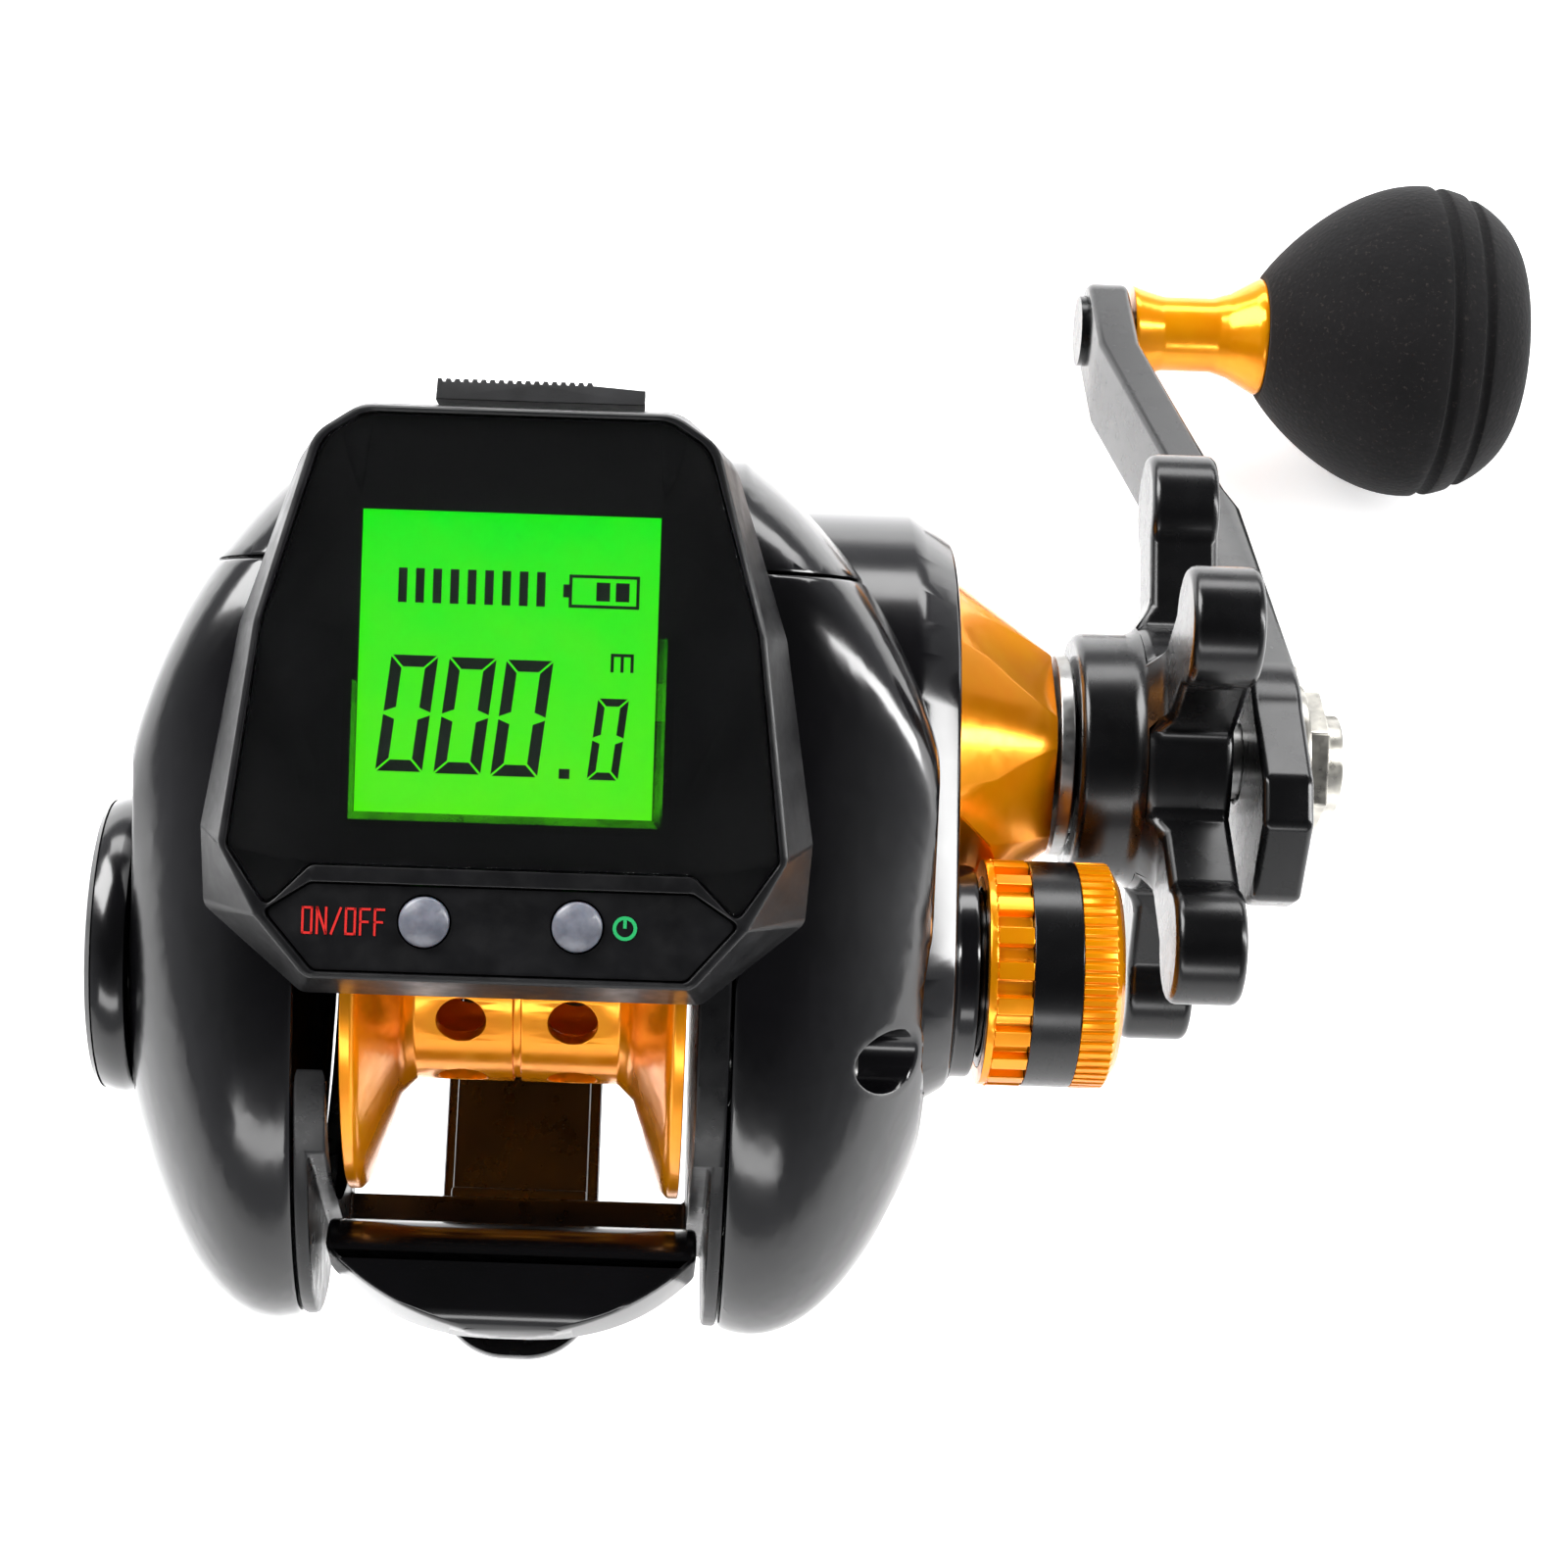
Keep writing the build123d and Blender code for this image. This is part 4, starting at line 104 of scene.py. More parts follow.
CASE_HALF = 21.7 * MM
CASE_LONG = 39.9 * MM
CASE_BASE = [(0.530, 1.000), (0.710, 0.907), (0.894, 0.602), (1.000, 0.241), (0.982, 0.100), (0.654, -0.050)]
CASE_RIM = [(0.502, 0.980), (0.645, 0.930), (0.816, 0.602), (0.908, 0.213), (0.783, 0.090), (0.618, -0.015)]
WINDOW = [(0.484, 0.965), (0.613, 0.920), (0.788, 0.602), (0.876, 0.211), (0.751, 0.110), (0.613, 0.185)]
STRIP = [(0.608, 0.148), (0.751, 0.098), (0.594, 0.000)]
CASE_CORNERS = [3.0 * MM, 3.0 * MM, 4.0 * MM, 1.2 * MM, 1.2 * MM, 1.2 * MM]
WINDOW_CORNERS = [2.6 * MM, 2.6 * MM, 6.0 * MM, 0.9 * MM, 0.7 * MM, 1.0 * MM]
STRIP_CORNERS = [0.8 * MM, 0.5 * MM, 0.8 * MM]
ROOM_CORNER = 0.6 * MM
CASE_LOW = 19.0 * MM
POCKET_FLOOR = 23.4 * MM
ROOM_CEILING = 22.1 * MM
POCKET_GAP = 0.15 * MM
POCKET_EDGE = 0.14 * MM
CASE_WALL = 1.3 * MM
TRAY_EDGE = 0.25 * MM
WINDOW_THICK = 1.0 * MM
WINDOW_EDGE = 0.22 * MM
FILM_GAP = 0.05 * MM
STRIP_DROP = 0.4 * MM
STRIP_EDGE = 0.18 * MM
LCD_MIDDLE = (0.0, 21.5 * MM)
LCD_HOLE = (23.0 * MM, 23.3 * MM)
LIT_SIZE = (20.7 * MM, 21.0 * MM)
LIT_MIDDLE = (-0.15 * MM, 21.5 * MM)
KEY_PLACES = [(-5.3 * MM, 3.5 * MM), (5.3 * MM, 3.5 * MM)]
KEY_CUT_R = 1.90 * MM  # round a key in the strip
KEY_HOLE_R = 2.7 * MM  # under the strip
KEY_EDGE = 0.15 * MM

# Rubber flap of the charging socket, on the same face

FLAP_LEFT = -6.0 * MM
FLAP_RIGHT = 8.8 * MM
FLAP_LOW = 40.2 * MM
FLAP_TOP = 41.7 * MM
FLAP_STEP = 0.45 * MM
FLAP_UNDER = 13.7 * MM
FLAP_OVER = 19.9 * MM
FLAP_EDGE = 0.10 * MM
FLAP_RIBS = 18
FLAP_RIB = 0.22 * MM
FLAP_PITCH = 0.76 * (FLAP_RIGHT - FLAP_LEFT) / FLAP_RIBS  # the ribs end short of the right end
FLAP_WAVE = [(0.15, 0.0), (0.60, 0.0), (0.75, FLAP_RIB), (1.00, FLAP_RIB)]  # share of the pitch, depth

# Gold cone and its flats

CONE_BORE_R = 6.6 * MM
CONE_SINK = 0.8 * MM
CONE_STEP = 1.3 * MM
CONE_BASE_R = 14.0 * MM
CONE_TIP_R = 8.1 * MM
CONE_FLATS = 5
CONE_FLAT_FROM = 0.06  # share of the cone's height where the flats begin
CONE_FLAT_TIP = 7.2 * MM
CONE_FIRST_FLAT = radians(64)
CONE_EDGE = 0.12 * MM
CONE_EDGE_ANGLE = 12.0
CAST_ROOM_R = 9.0 * MM

# Figures, in millimetres on the face: a bar is (left, low, right, high), and a digit is left, low and its
# shares of a large digit's width and height

DIGITS = [(-9.1, 13.85, 1.0, 1.0), (-5.05, 13.8, 1.0, 1.0), (-1.1, 13.75, 1.0, 1.0), (5.6, 13.7, 0.66, 0.70)]
DIGIT_LEAN = 0.11
STROKE_SHARE = 0.25
TIP_SHARE = 0.4  # how far a stroke of a digit is mitred beside the bar in the middle
SEGMENT_GAP = 0.10 * MM
POINT_BAR = (3.65, 13.7, 4.4, 14.4)
GAUGE_BARS = [(-7.9 + 1.2 * at, 25.6, -7.3 + 1.2 * at, 28.0) for at in range(9)]
BATTERY_BARS = [
    (3.95, 25.6, 8.85, 25.82), (3.95, 27.68, 8.85, 27.9),
    (3.95, 25.82, 4.17, 27.68), (8.63, 25.82, 8.85, 27.68),
    (3.55, 26.3, 3.95, 27.2), (5.85, 26.1, 6.8, 27.4), (7.2, 26.1, 8.15, 27.4),
]
UNIT_BARS = [
    (7.0, 21.2, 7.22, 22.5), (7.0, 22.28, 8.6, 22.5), (7.69, 21.2, 7.91, 22.3), (8.38, 21.2, 8.6, 22.3),
]
INK_GAP = 0.02 * MM
INK_THICK = 0.05 * MM
PEN_WIDE = 0.16
RING_MIDDLE = (8.6, 3.5)
RING_RADII = (0.85, 0.60)
RING_STEPS = 32
RING_TICK = (8.48, 3.5, 8.72, 4.1)
LETTER_START = (-13.7, 2.5)
LETTER_SIZE = (0.62, 1.75)
LETTER_PITCH = 1.0
LETTERS = {
    "O": [(0, 0, 0, 1), (0, 1, 1, 1), (1, 1, 1, 0), (1, 0, 0, 0)],
    "N": [(0, 0, 0, 1), (0, 1, 1, 0), (1, 0, 1, 1)],
    "/": [(0, 0, 1, 1)],
    "F": [(0, 0, 0, 1), (0, 1, 1, 1), (0, 0.5, 0.8, 0.5)],
}

# Stage: a lamp is its place, its size and its power in watts; a pair is (near, far) or (low, high)

LAMPS = {
    "key_lamp": ((-0.40, 0.30, 0.50), (0.40, 0.45), 8.0),
    "strip_lamp": ((0.60, 0.05, 0.32), (0.10, 0.70), 4.6),
    "far_lamp": ((0.05, 0.65, 0.35), (0.90, 0.22), 4.6),
    "near_lamp": ((-0.10, -0.60, 0.30), (0.70, 0.12), 1.6),
}
FLOOR_RADIUS = 3.0
FLOOR_GAP = 0.2 * MM
FLOOR_GLOW = (0.42, 0.95)
FLOOR_REACH = (0.25, 0.9)
WORLD_STRENGTH = (0.62, 0.05)
WORLD_HEIGHT = (0.10, 0.80)
CAMERA_SENSOR = 36.0
CAMERA_SHIFT = (0.0937, -0.0031)
CAMERA_AIM = (8.3 * MM, 13.86 * MM)
CAMERA_CLIP = (0.01, 20.0)


# Sizes and colours that a user would change

class BodySizes(bpy.types.PropertyGroup):
    """Finish of the black body."""
    edge: bpy.props.FloatProperty(
        name="Edge", description="Rounding of moulded edges", default=0.30 * MM, unit="LENGTH"
    )
    black: bpy.props.StringProperty(
        name="Black", description="Colour of the glossy black mouldings", default="#060607"
    )
    gold: bpy.props.StringProperty(
        name="Gold", description="Colour of the anodised parts", default="#FFA400"
    )


class DisplaySizes(bpy.types.PropertyGroup):
    """Display case, measured on its face: across, up the face and out of it."""
    tilt: bpy.props.FloatProperty(
        name="Tilt", description="Lean of the display face back from level", default=radians(22),
        subtype="ANGLE",
    )
    across: bpy.props.FloatProperty(
        name="Across", description="Middle of the face along the spool axis", default=-0.8 * MM,
        unit="LENGTH",
    )
    height: bpy.props.FloatProperty(
        name="Height", description="Face above the spool axis", default=25.0 * MM, unit="LENGTH"
    )
    edge: bpy.props.FloatProperty(
        name="Edge", description="Rounding of the case's rim", default=0.34 * MM, unit="LENGTH"
    )
    digit_wide: bpy.props.FloatProperty(
        name="Digit width", description="Width of a large digit", default=3.25 * MM, unit="LENGTH"
    )
    digit_high: bpy.props.FloatProperty(
        name="Digit height", description="Height of a large digit", default=8.1 * MM, unit="LENGTH"
    )
    green: bpy.props.StringProperty(
        name="Green", description="Colour of the lit panel", default="#00F808"
    )


class StageSizes(bpy.types.PropertyGroup):
    """Camera, lamps and floor."""
    lens: bpy.props.FloatProperty(
        name="Lens", description="Focal length in millimetres", default=76.5
    )
    roll: bpy.props.FloatProperty(
        name="Roll", description="Turn of the camera about its view", default=radians(1.9), subtype="ANGLE"
    )
    distance: bpy.props.FloatProperty(
        name="Distance", description="Camera from the spool axis along its view", default=255 * MM,
        unit="LENGTH",
    )
    lamps: bpy.props.FloatProperty(
        name="Lamps", description="Strength of all lamps, 1 as designed", default=1.0
    )


# Shading helpers

def tone(code):
    """Linear colour from an sRGB hex value."""
    parts = [int(code[at:at + 2], 16) / 255 for at in (1, 3, 5)]
    linear = [part / 12.92 if part <= 0.04045 else ((part + 0.055) / 1.055) ** 2.4 for part in parts]
    return (*linear, 1.0)


def add(tree, kind, inputs=None, **settings):
    """Adds a node, sets it, and links or fills its inputs."""
    node = tree.nodes.new(kind)
    for key, value in settings.items():
        setattr(node, key, value)
    for socket, value in (inputs or {}).items():
        if isinstance(value, bpy.types.NodeSocket):
            tree.links.new(value, node.inputs[socket])
        else:
            node.inputs[socket].default_value = value
    return node


def start_material(name, **values):
    """New material with a Principled shader and object coordinates."""
    material = bpy.data.materials.new(name)
    material.use_nodes = True
    tree = material.node_tree
    tree.nodes.clear()
    shader = add(tree, "ShaderNodeBsdfPrincipled", values)
    add(tree, "ShaderNodeOutputMaterial", {"Surface": shader.outputs[0]})
    coords = add(tree, "ShaderNodeTexCoord").outputs["Object"]
    return material, tree, shader, coords


def noise(tree, coords, size, detail=3.0, roughness=0.55):
    """Noise whose grains have a real size in metres."""
    node = add(
        tree, "ShaderNodeTexNoise",
        {"Vector": coords, "Scale": 1 / size, "Detail": detail, "Roughness": roughness},
    )
    return node.outputs["Fac"]


def remap(tree, value, low, high, start=0.3, end=0.7):
    """Stretches a value from start to end over low to high."""
    node = add(
        tree, "ShaderNodeMapRange",
        {"Value": value, "From Min": start, "From Max": end, "To Min": low, "To Max": high},
    )
    return node.outputs["Result"]


def blend_colours(tree, factor, first, second):
    """Colour between two by a factor."""
    node = add(tree, "ShaderNodeMix", data_type="RGBA")
    for socket, value in ((0, factor), (6, first), (7, second)):
        if isinstance(value, bpy.types.NodeSocket):
            tree.links.new(value, node.inputs[socket])
        else:
            node.inputs[socket].default_value = value
    return node.outputs[2]


def bump(tree, shader, height, depth, strength):
    """Bump of a real depth in metres."""
    node = add(tree, "ShaderNodeBump", {"Height": height, "Distance": depth, "Strength": strength})
    tree.links.new(node.outputs[0], shader.inputs["Normal"])


def link(tree, output, shader, socket):
    """Feeds a socket of the shader."""
    tree.links.new(output, shader.inputs[socket])


def mottle(tree, shader, coords, size, first, second):
    """Base colour that drifts between two hex tones in patches of a real size."""
    factor = remap(tree, noise(tree, coords, size), 0, 1)
    link(tree, blend_colours(tree, factor, tone(first), tone(second)), shader, "Base Color")


def wear(tree, shader, coords, size, low, high):
    """Roughness that drifts between two values in patches of a real size."""
    link(tree, remap(tree, noise(tree, coords, size), low, high), shader, "Roughness")


def weave(tree, shader, coords, size, first, second, depth, strength):
    """Two tones in a checker of a real size, which stands out a little like crossed threads."""
    threads = add(tree, "ShaderNodeTexChecker", {"Vector": coords, "Scale": 1 / size}).outputs["Fac"]
    link(tree, blend_colours(tree, threads, tone(first), tone(second)), shader, "Base Color")
    bump(tree, shader, threads, depth, strength)


# Materials, each named for what the real one is and how it was made

def glossy_moulding(name, colour, roughness):
    """Glass-filled nylon, moulded and sprayed gloss black: soft reflections with faint orange peel."""
    material, tree, shader, coords = start_material(
        name, **{"Coat Weight": 0.25, "Coat Roughness": 0.12, "IOR": 1.5}
    )
    mottle(tree, shader, coords, 9 * MM, colour, "#0C0B0E")
    wear(tree, shader, coords, 5 * MM, roughness - 0.02, roughness + 0.03)
    bump(tree, shader, noise(tree, coords, 0.9 * MM, detail=2.0), depth=0.002 * MM, strength=0.4)
    return material


def satin_moulding(name, colour, roughness):
    """ABS or nylon from a spark-eroded mould: even satin with a fine grain that breaks up highlights."""
    material, tree, shader, coords = start_material(name, **{"IOR": 1.5, "Specular IOR Level": 0.35})
    mottle(tree, shader, coords, 6 * MM, colour, "#111113")
    wear(tree, shader, coords, 2 * MM, roughness - 0.06, roughness + 0.08)
    bump(tree, shader, noise(tree, coords, 0.22 * MM, detail=4.0), depth=0.012 * MM, strength=0.5)
    return material


def anodised(name, colour, deep, roughness):
    """Aluminium, turned and dyed in the anodising bath: metal shine with fine tool lines along X."""
    material, tree, shader, coords = start_material(
        name, Metallic=0.5, **{"Coat Weight": 0.1, "Coat Roughness": 0.08}
    )
    mottle(tree, shader, coords, 5 * MM, colour, deep)
    wear(tree, shader, coords, 1.5 * MM, roughness - 0.04, roughness + 0.06)
    lines = add(
        tree, "ShaderNodeTexWave",
        {"Vector": coords, "Scale": 1 / (2.4 * MM), "Distortion": 0.6, "Detail": 2.0},
        wave_type="BANDS", bands_direction="X",
    )
    bump(tree, shader, lines.outputs["Fac"], depth=0.004 * MM, strength=0.35)
    return material


def black_anodised(name):
    """Aluminium, forged, tumbled and anodised black: satin with a warm grey sheen on its edges."""
    material, tree, shader, coords = start_material(
        name, Metallic=0.35, **{"Coat Weight": 0.25, "Coat Roughness": 0.2}
    )
    mottle(tree, shader, coords, 7 * MM, "#060607", "#0B0B0D")
    wear(tree, shader, coords, 2 * MM, 0.24, 0.29)
    bump(tree, shader, noise(tree, coords, 0.15 * MM, detail=3.0), depth=0.003 * MM, strength=0.4)
    return material


def bare_metal(name, colour, roughness):
    """Ground or plated metal: clear reflections with light machining streaks."""
    material, tree, shader, coords = start_material(name, Metallic=1.0)
    mottle(tree, shader, coords, 3 * MM, colour, "#8E8C88")
    wear(tree, shader, coords, 0.8 * MM, roughness - 0.05, roughness + 0.1)
    lines = add(
        tree, "ShaderNodeTexWave",
        {"Vector": coords, "Scale": 1 / (1.6 * MM), "Distortion": 1.5, "Detail": 3.0},
        bands_direction="X",
    )
    bump(tree, shader, lines.outputs["Fac"], depth=0.004 * MM, strength=0.4)
    return material


def closed_cell_foam(name):
    """EVA foam, turned and buffed: dull black with cut pores and pale flecks of buffing dust."""
    material, tree, shader, coords = start_material(
        name, Roughness=0.9, **{"Sheen Weight": 0.06, "Sheen Roughness": 0.5, "Specular IOR Level": 0.15}
    )
    cloud = remap(tree, noise(tree, coords, 8 * MM), 0, 1)
    black = blend_colours(tree, cloud, tone("#0C0C0D"), tone("#141314"))
    dust = noise(tree, coords, 0.42 * MM, detail=2.0, roughness=0.7)
    flecks = remap(tree, dust, 0, 1, start=0.60, end=0.74)
    link(tree, blend_colours(tree, flecks, black, tone("#2C2826")), shader, "Base Color")
    pores = add(tree, "ShaderNodeTexVoronoi", {"Vector": coords, "Scale": 1 / (0.55 * MM)})
    bump(tree, shader, pores.outputs["Distance"], depth=0.05 * MM, strength=0.7)
    return material


def soft_rubber(name, colour, roughness):
    """Moulded rubber: matt, a little dusty, with a fine skin."""
    material, tree, shader, coords = start_material(name, **{"Sheen Weight": 0.15, "IOR": 1.45})
    mottle(tree, shader, coords, 4 * MM, colour, "#262628")
    wear(tree, shader, coords, 1 * MM, roughness - 0.06, roughness + 0.08)
    bump(tree, shader, noise(tree, coords, 0.2 * MM, detail=3.0), depth=0.012 * MM, strength=0.5)
    return material


def button_rubber(name):
    """Grey silicone key with a polished dome: milky, with a soft highlight."""
    material, tree, shader, coords = start_material(name, **{
        "Subsurface Weight": 0.15, "Subsurface Scale": 0.6 * MM, "Coat Weight": 0.3, "Coat Roughness": 0.25,
    })
    mottle(tree, shader, coords, 0.8 * MM, "#585A64", "#6C6E78")
    wear(tree, shader, coords, 0.8 * MM, 0.3, 0.4)
    bump(tree, shader, noise(tree, coords, 0.1 * MM), depth=0.004 * MM, strength=0.4)
    return material


def clear_acrylic(name):
    """Cast acrylic plate, hard-coated: clear, with a trace of fine wipe marks."""
    material, tree, shader, coords = start_material(
        name, **{"Transmission Weight": 1.0, "IOR": 1.49, "Base Color": tone("#F4F6F6")}
    )
    wear(tree, shader, coords, 6 * MM, 0.0, 0.02)
    return material


def printed_mask(name):
    """Screen-printed black film behind the window: flat black with a trace of ink texture."""
    material, tree, shader, coords = start_material(name, Roughness=0.6, **{"Specular IOR Level": 0.2})
    ink = noise(tree, coords, 0.5 * MM)
    link(tree, blend_colours(tree, ink, tone("#050506"), tone("#0A0909")), shader, "Base Color")
    bump(tree, shader, ink, depth=0.002 * MM, strength=0.3)
    return material


def lit_panel(name, green, warm):
    """Liquid crystal over a green light box: even glow, a little yellower towards the lamp's edge."""
    material, tree, shader, coords = start_material(
        name, Roughness=0.5, **{"Emission Strength": 1.0, "Base Color": tone("#04160A")}
    )
    low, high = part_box("lcd_panel")
    split = add(tree, "ShaderNodeSeparateXYZ", {"Vector": coords})
    rise = remap(tree, split.outputs["Y"], 0, 1, start=low.y, end=high.y)
    drift = remap(tree, noise(tree, coords, 3 * MM), -0.12, 0.12)
    level = add(tree, "ShaderNodeMath", {0: rise, 1: drift}, operation="ADD", use_clamp=True)
    lit = blend_colours(tree, level.outputs[0], tone(warm), tone(green))
    link(tree, lit, shader, "Emission Color")
    return material


def laminate(name):
    """Glass-fibre circuit board under green solder mask: woven grain showing through the lacquer."""
    material, tree, shader, coords = start_material(name, Roughness=0.3, **{"Coat Weight": 0.5})
    weave(tree, shader, coords, 0.5 * MM, "#0A4A22", "#0C5828", depth=0.01 * MM, strength=0.3)
    return material


def carbon_washer(name):
    """Woven carbon friction washer: dark twill, slightly oily."""
    material, tree, shader, coords = start_material(name, Roughness=0.45)
    weave(tree, shader, coords, 0.9 * MM, "#18181A", "#2C2C2E", depth=0.03 * MM, strength=0.4)
    return material


def printed_ink(name, colour, thin):
    """Pad-printed ink: flat colour that thins out a little in fine specks."""
    material, tree, shader, coords = start_material(name, Roughness=0.45)
    mottle(tree, shader, coords, 0.15 * MM, colour, thin)
    return material


MAKERS = {
    "black_shell": lambda name: glossy_moulding(name, bpy.context.scene.reel_body.black, 0.17),
    "frame_black": lambda name: satin_moulding(name, bpy.context.scene.reel_body.black, 0.3),
    "case_plastic": lambda name: satin_moulding(name, "#0A0A0B", 0.34),
    "base_plastic": lambda name: satin_moulding(name, "#111113", 0.5),
    "window": clear_acrylic,
    "mask": printed_mask,
    "lcd": lambda name: lit_panel(name, bpy.context.scene.reel_display.green, "#58FA00"),
    "board": laminate,
    "cell": lambda name: bare_metal(name, "#8A93A6", 0.35),
    "button_grey": button_rubber,
    "rubber_black": lambda name: soft_rubber(name, "#131314", 0.62),
    "gold": lambda name: anodised(name, bpy.context.scene.reel_body.gold, "#FF9600", 0.20),
    "black_metal": black_anodised,
    "bright_steel": lambda name: bare_metal(name, "#EFEBDF", 0.3),
    "steel": lambda name: bare_metal(name, "#B5B5B5", 0.3),
    "brass_gear": lambda name: bare_metal(name, "#D8A850", 0.3),
    "foam": closed_cell_foam,
    "fibre": carbon_washer,
    "magnet": lambda name: bare_metal(name, "#C9CACF", 0.15),
    "ceramic": lambda name: glossy_moulding(name, "#3A3A3E", 0.12),
}
MATERIALS = {}


def finish_of(slot):
    """Material of a slot, made once."""
    if slot not in MATERIALS:
        MATERIALS[slot] = MAKERS[slot](slot)
    return MATERIALS[slot]


# Modelling helpers

def keep(name, bm, nodes, material=None, body=None, slot=None, sharp=SHARP_ANGLE):
    """Turns a bmesh into a finished piece on its body; edges past an angle in degrees stay sharp."""
    mesh = bpy.data.meshes.new(name)
    bm.to_mesh(mesh)
    bm.free()
    for layer in ("custom_normal", "sharp_face"):
        if layer in mesh.attributes:
            mesh.attributes.remove(mesh.attributes[layer])
    piece = bpy.data.objects.new(name, mesh)
    bpy.context.scene.collection.objects.link(piece)
    slot = slot or SLOT_OF[nodes[0]]
    mesh.materials.append(material or finish_of(slot))
    mesh.shade_smooth()
    mesh.set_sharp_from_angle(angle=radians(sharp))
    weighted = piece.modifiers.new("Even shading", "WEIGHTED_NORMAL")
    weighted.keep_sharp = True
    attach(piece, body or BODY_OF[nodes[0]])
    if nodes:
        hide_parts(*nodes)
    return piece


def merged_copy(node):
    """Copy of a construction piece as one joined surface."""
    bm = bmesh.new()
    bm.from_mesh(frame["nodes"][node].data)
    bmesh.ops.remove_doubles(bm, verts=bm.verts, dist=JOIN_GAP)
    bmesh.ops.dissolve_limit(bm, angle_limit=FLAT_ANGLE, verts=bm.verts, edges=bm.edges)
    return bm


def soften(bm, edge, steps=FINE_STEPS, angle=SHARP_ANGLE):
    """Rounds the edges of a mesh where two faces meet at more than an angle in degrees."""
    sharp = [
        item for item in bm.edges
        if len(item.link_faces) == 2 and item.calc_face_angle(0) > radians(angle)
    ]
    bmesh.ops.bevel(
        bm, geom=sharp, offset=edge, offset_type="OFFSET", segments=steps,
        profile=0.5, affect="EDGES", clamp_overlap=False, material=-1, loop_slide=True,
    )


def softened(node, name, edge, steps=FINE_STEPS):
    """Finished piece from a construction piece, with its sharp edges rounded."""
    bm = merged_copy(node)
    soften(bm, edge, steps)
    return keep(name, bm, [node])


def rounded(points, radius, steps):
    """Closed outline with its corners rounded; a radius goes with all points or is a list."""
    radii = radius if isinstance(radius, list) else [radius] * len(points)
    made = []
    for before, here, after, size in zip(points[-1:] + points[:-1], points, points[1:] + points[:1], radii):
        back, on = before - here, after - here
        bend = back.angle(on, pi)
        if min(bend, pi - bend) < STRAIGHT:
            made.append(here)
            continue
        cut = min(size / tan(bend / 2), CORNER_SHARE * back.length, CORNER_SHARE * on.length)
        start = here + back.normalized() * cut
        end = here + on.normalized() * cut
        for step in range(steps + 1):
            share = step / steps
            made.append(start.lerp(here, share).lerp(here.lerp(end, share), share))
    return made


def bevel(bm, edges, edge, steps):
    """Rounds some edges of a mesh."""
    bmesh.ops.bevel(
        bm, geom=edges, offset=edge, offset_type="OFFSET", segments=steps, profile=0.5,
        affect="EDGES", clamp_overlap=True, material=-1, loop_slide=True,
    )


def ring(bm, points, level):
    """Closed ring of points on one level."""
    return [bm.verts.new((point[0], point[1], level)) for point in points]


def pairs_of(verts):
    """Neighbours round a closed ring."""
    return zip(verts, verts[1:] + verts[:1])


def loop_edges(bm, verts):
    """Edges round a ring, made where they are missing."""
    return [bm.edges.get(pair) or bm.edges.new(pair) for pair in pairs_of(verts)]


def wall(bm, low, high):
    """Faces between two rings with as many points."""
    for (a, b), (c, d) in zip(pairs_of(low), pairs_of(high)):
        bm.faces.new((a, b, d, c))


def cap(bm, *rings):
    """Flat faces inside the first ring and round the others."""
    edges = [edge for verts in rings for edge in loop_edges(bm, verts)]
    bmesh.ops.triangle_fill(bm, edges=edges, use_beauty=True, normal=(0, 0, 1))


def widened(points, gap):
    """Clockwise outline moved outwards by a gap, with mitred corners."""
    made = []
    for before, here, after in zip(points[-1:] + points[:-1], points, points[1:] + points[:1]):
        first = (here - before).normalized()
        second = (after - here).normalized()
        out = (Vector((-first.y, first.x)) + Vector((-second.y, second.x))).normalized()
        made.append(here + out * gap / max(out.dot(Vector((-first.y, first.x))), MITRE_LIMIT))
    return made


def face_loop(shares, gap, radius):
    """Outline on the display face, the same on both sides of its middle, with rounded corners."""
    half = [(across * CASE_HALF, up * CASE_LONG) for across, up in shares]
    points = [Vector(point) for point in half] + [Vector((-across, up)) for across, up in reversed(half)]
    radii = radius + radius[::-1] if isinstance(radius, list) else radius
    return rounded(widened(points, gap), radii, OUTLINE_STEPS)


def oblong(size, centre):
    """Rectangle, clockwise."""
    half = (size[0] / 2, size[1] / 2)
    return [
        (centre[0] + x * half[0], centre[1] + y * half[1]) for x, y in ((-1, 1), (1, 1), (1, -1), (-1, -1))
    ]


def circle(radius, centre):
    """Circle, clockwise."""
    turns = [2 * pi * at / HOLE_STEPS for at in range(HOLE_STEPS)]
    return [(centre[0] + radius * sin(turn), centre[1] + radius * cos(turn)) for turn in turns]


def spun(points, centre):
    """Turned ring about an axis along X, from a closed outline of (x, radius)."""
    bm = bmesh.new()
    verts = [bm.verts.new((x, radius, 0)) for x, radius in points]
    bmesh.ops.spin(
        bm, geom=verts + loop_edges(bm, verts), cent=(0, 0, 0), axis=(1, 0, 0), angle=2 * pi,
        steps=TURN_STEPS, use_merge=True,
    )
    bmesh.ops.remove_doubles(bm, verts=bm.verts, dist=SEAM_GAP)
    bmesh.ops.recalc_face_normals(bm, faces=bm.faces)
    bmesh.ops.translate(bm, verts=bm.verts, vec=(0, centre.y, centre.z))
    return bm


def face_matrix(sizes):
    """Matrix from (across, up, out) on the display face to the reel's own frame."""
    turn = Matrix.Rotation(sizes.tilt, 4, "X")
    return Matrix.Translation((sizes.across, SPOOL.y, SPOOL.z)) @ turn


# Operators, one for each piece or group of like pieces

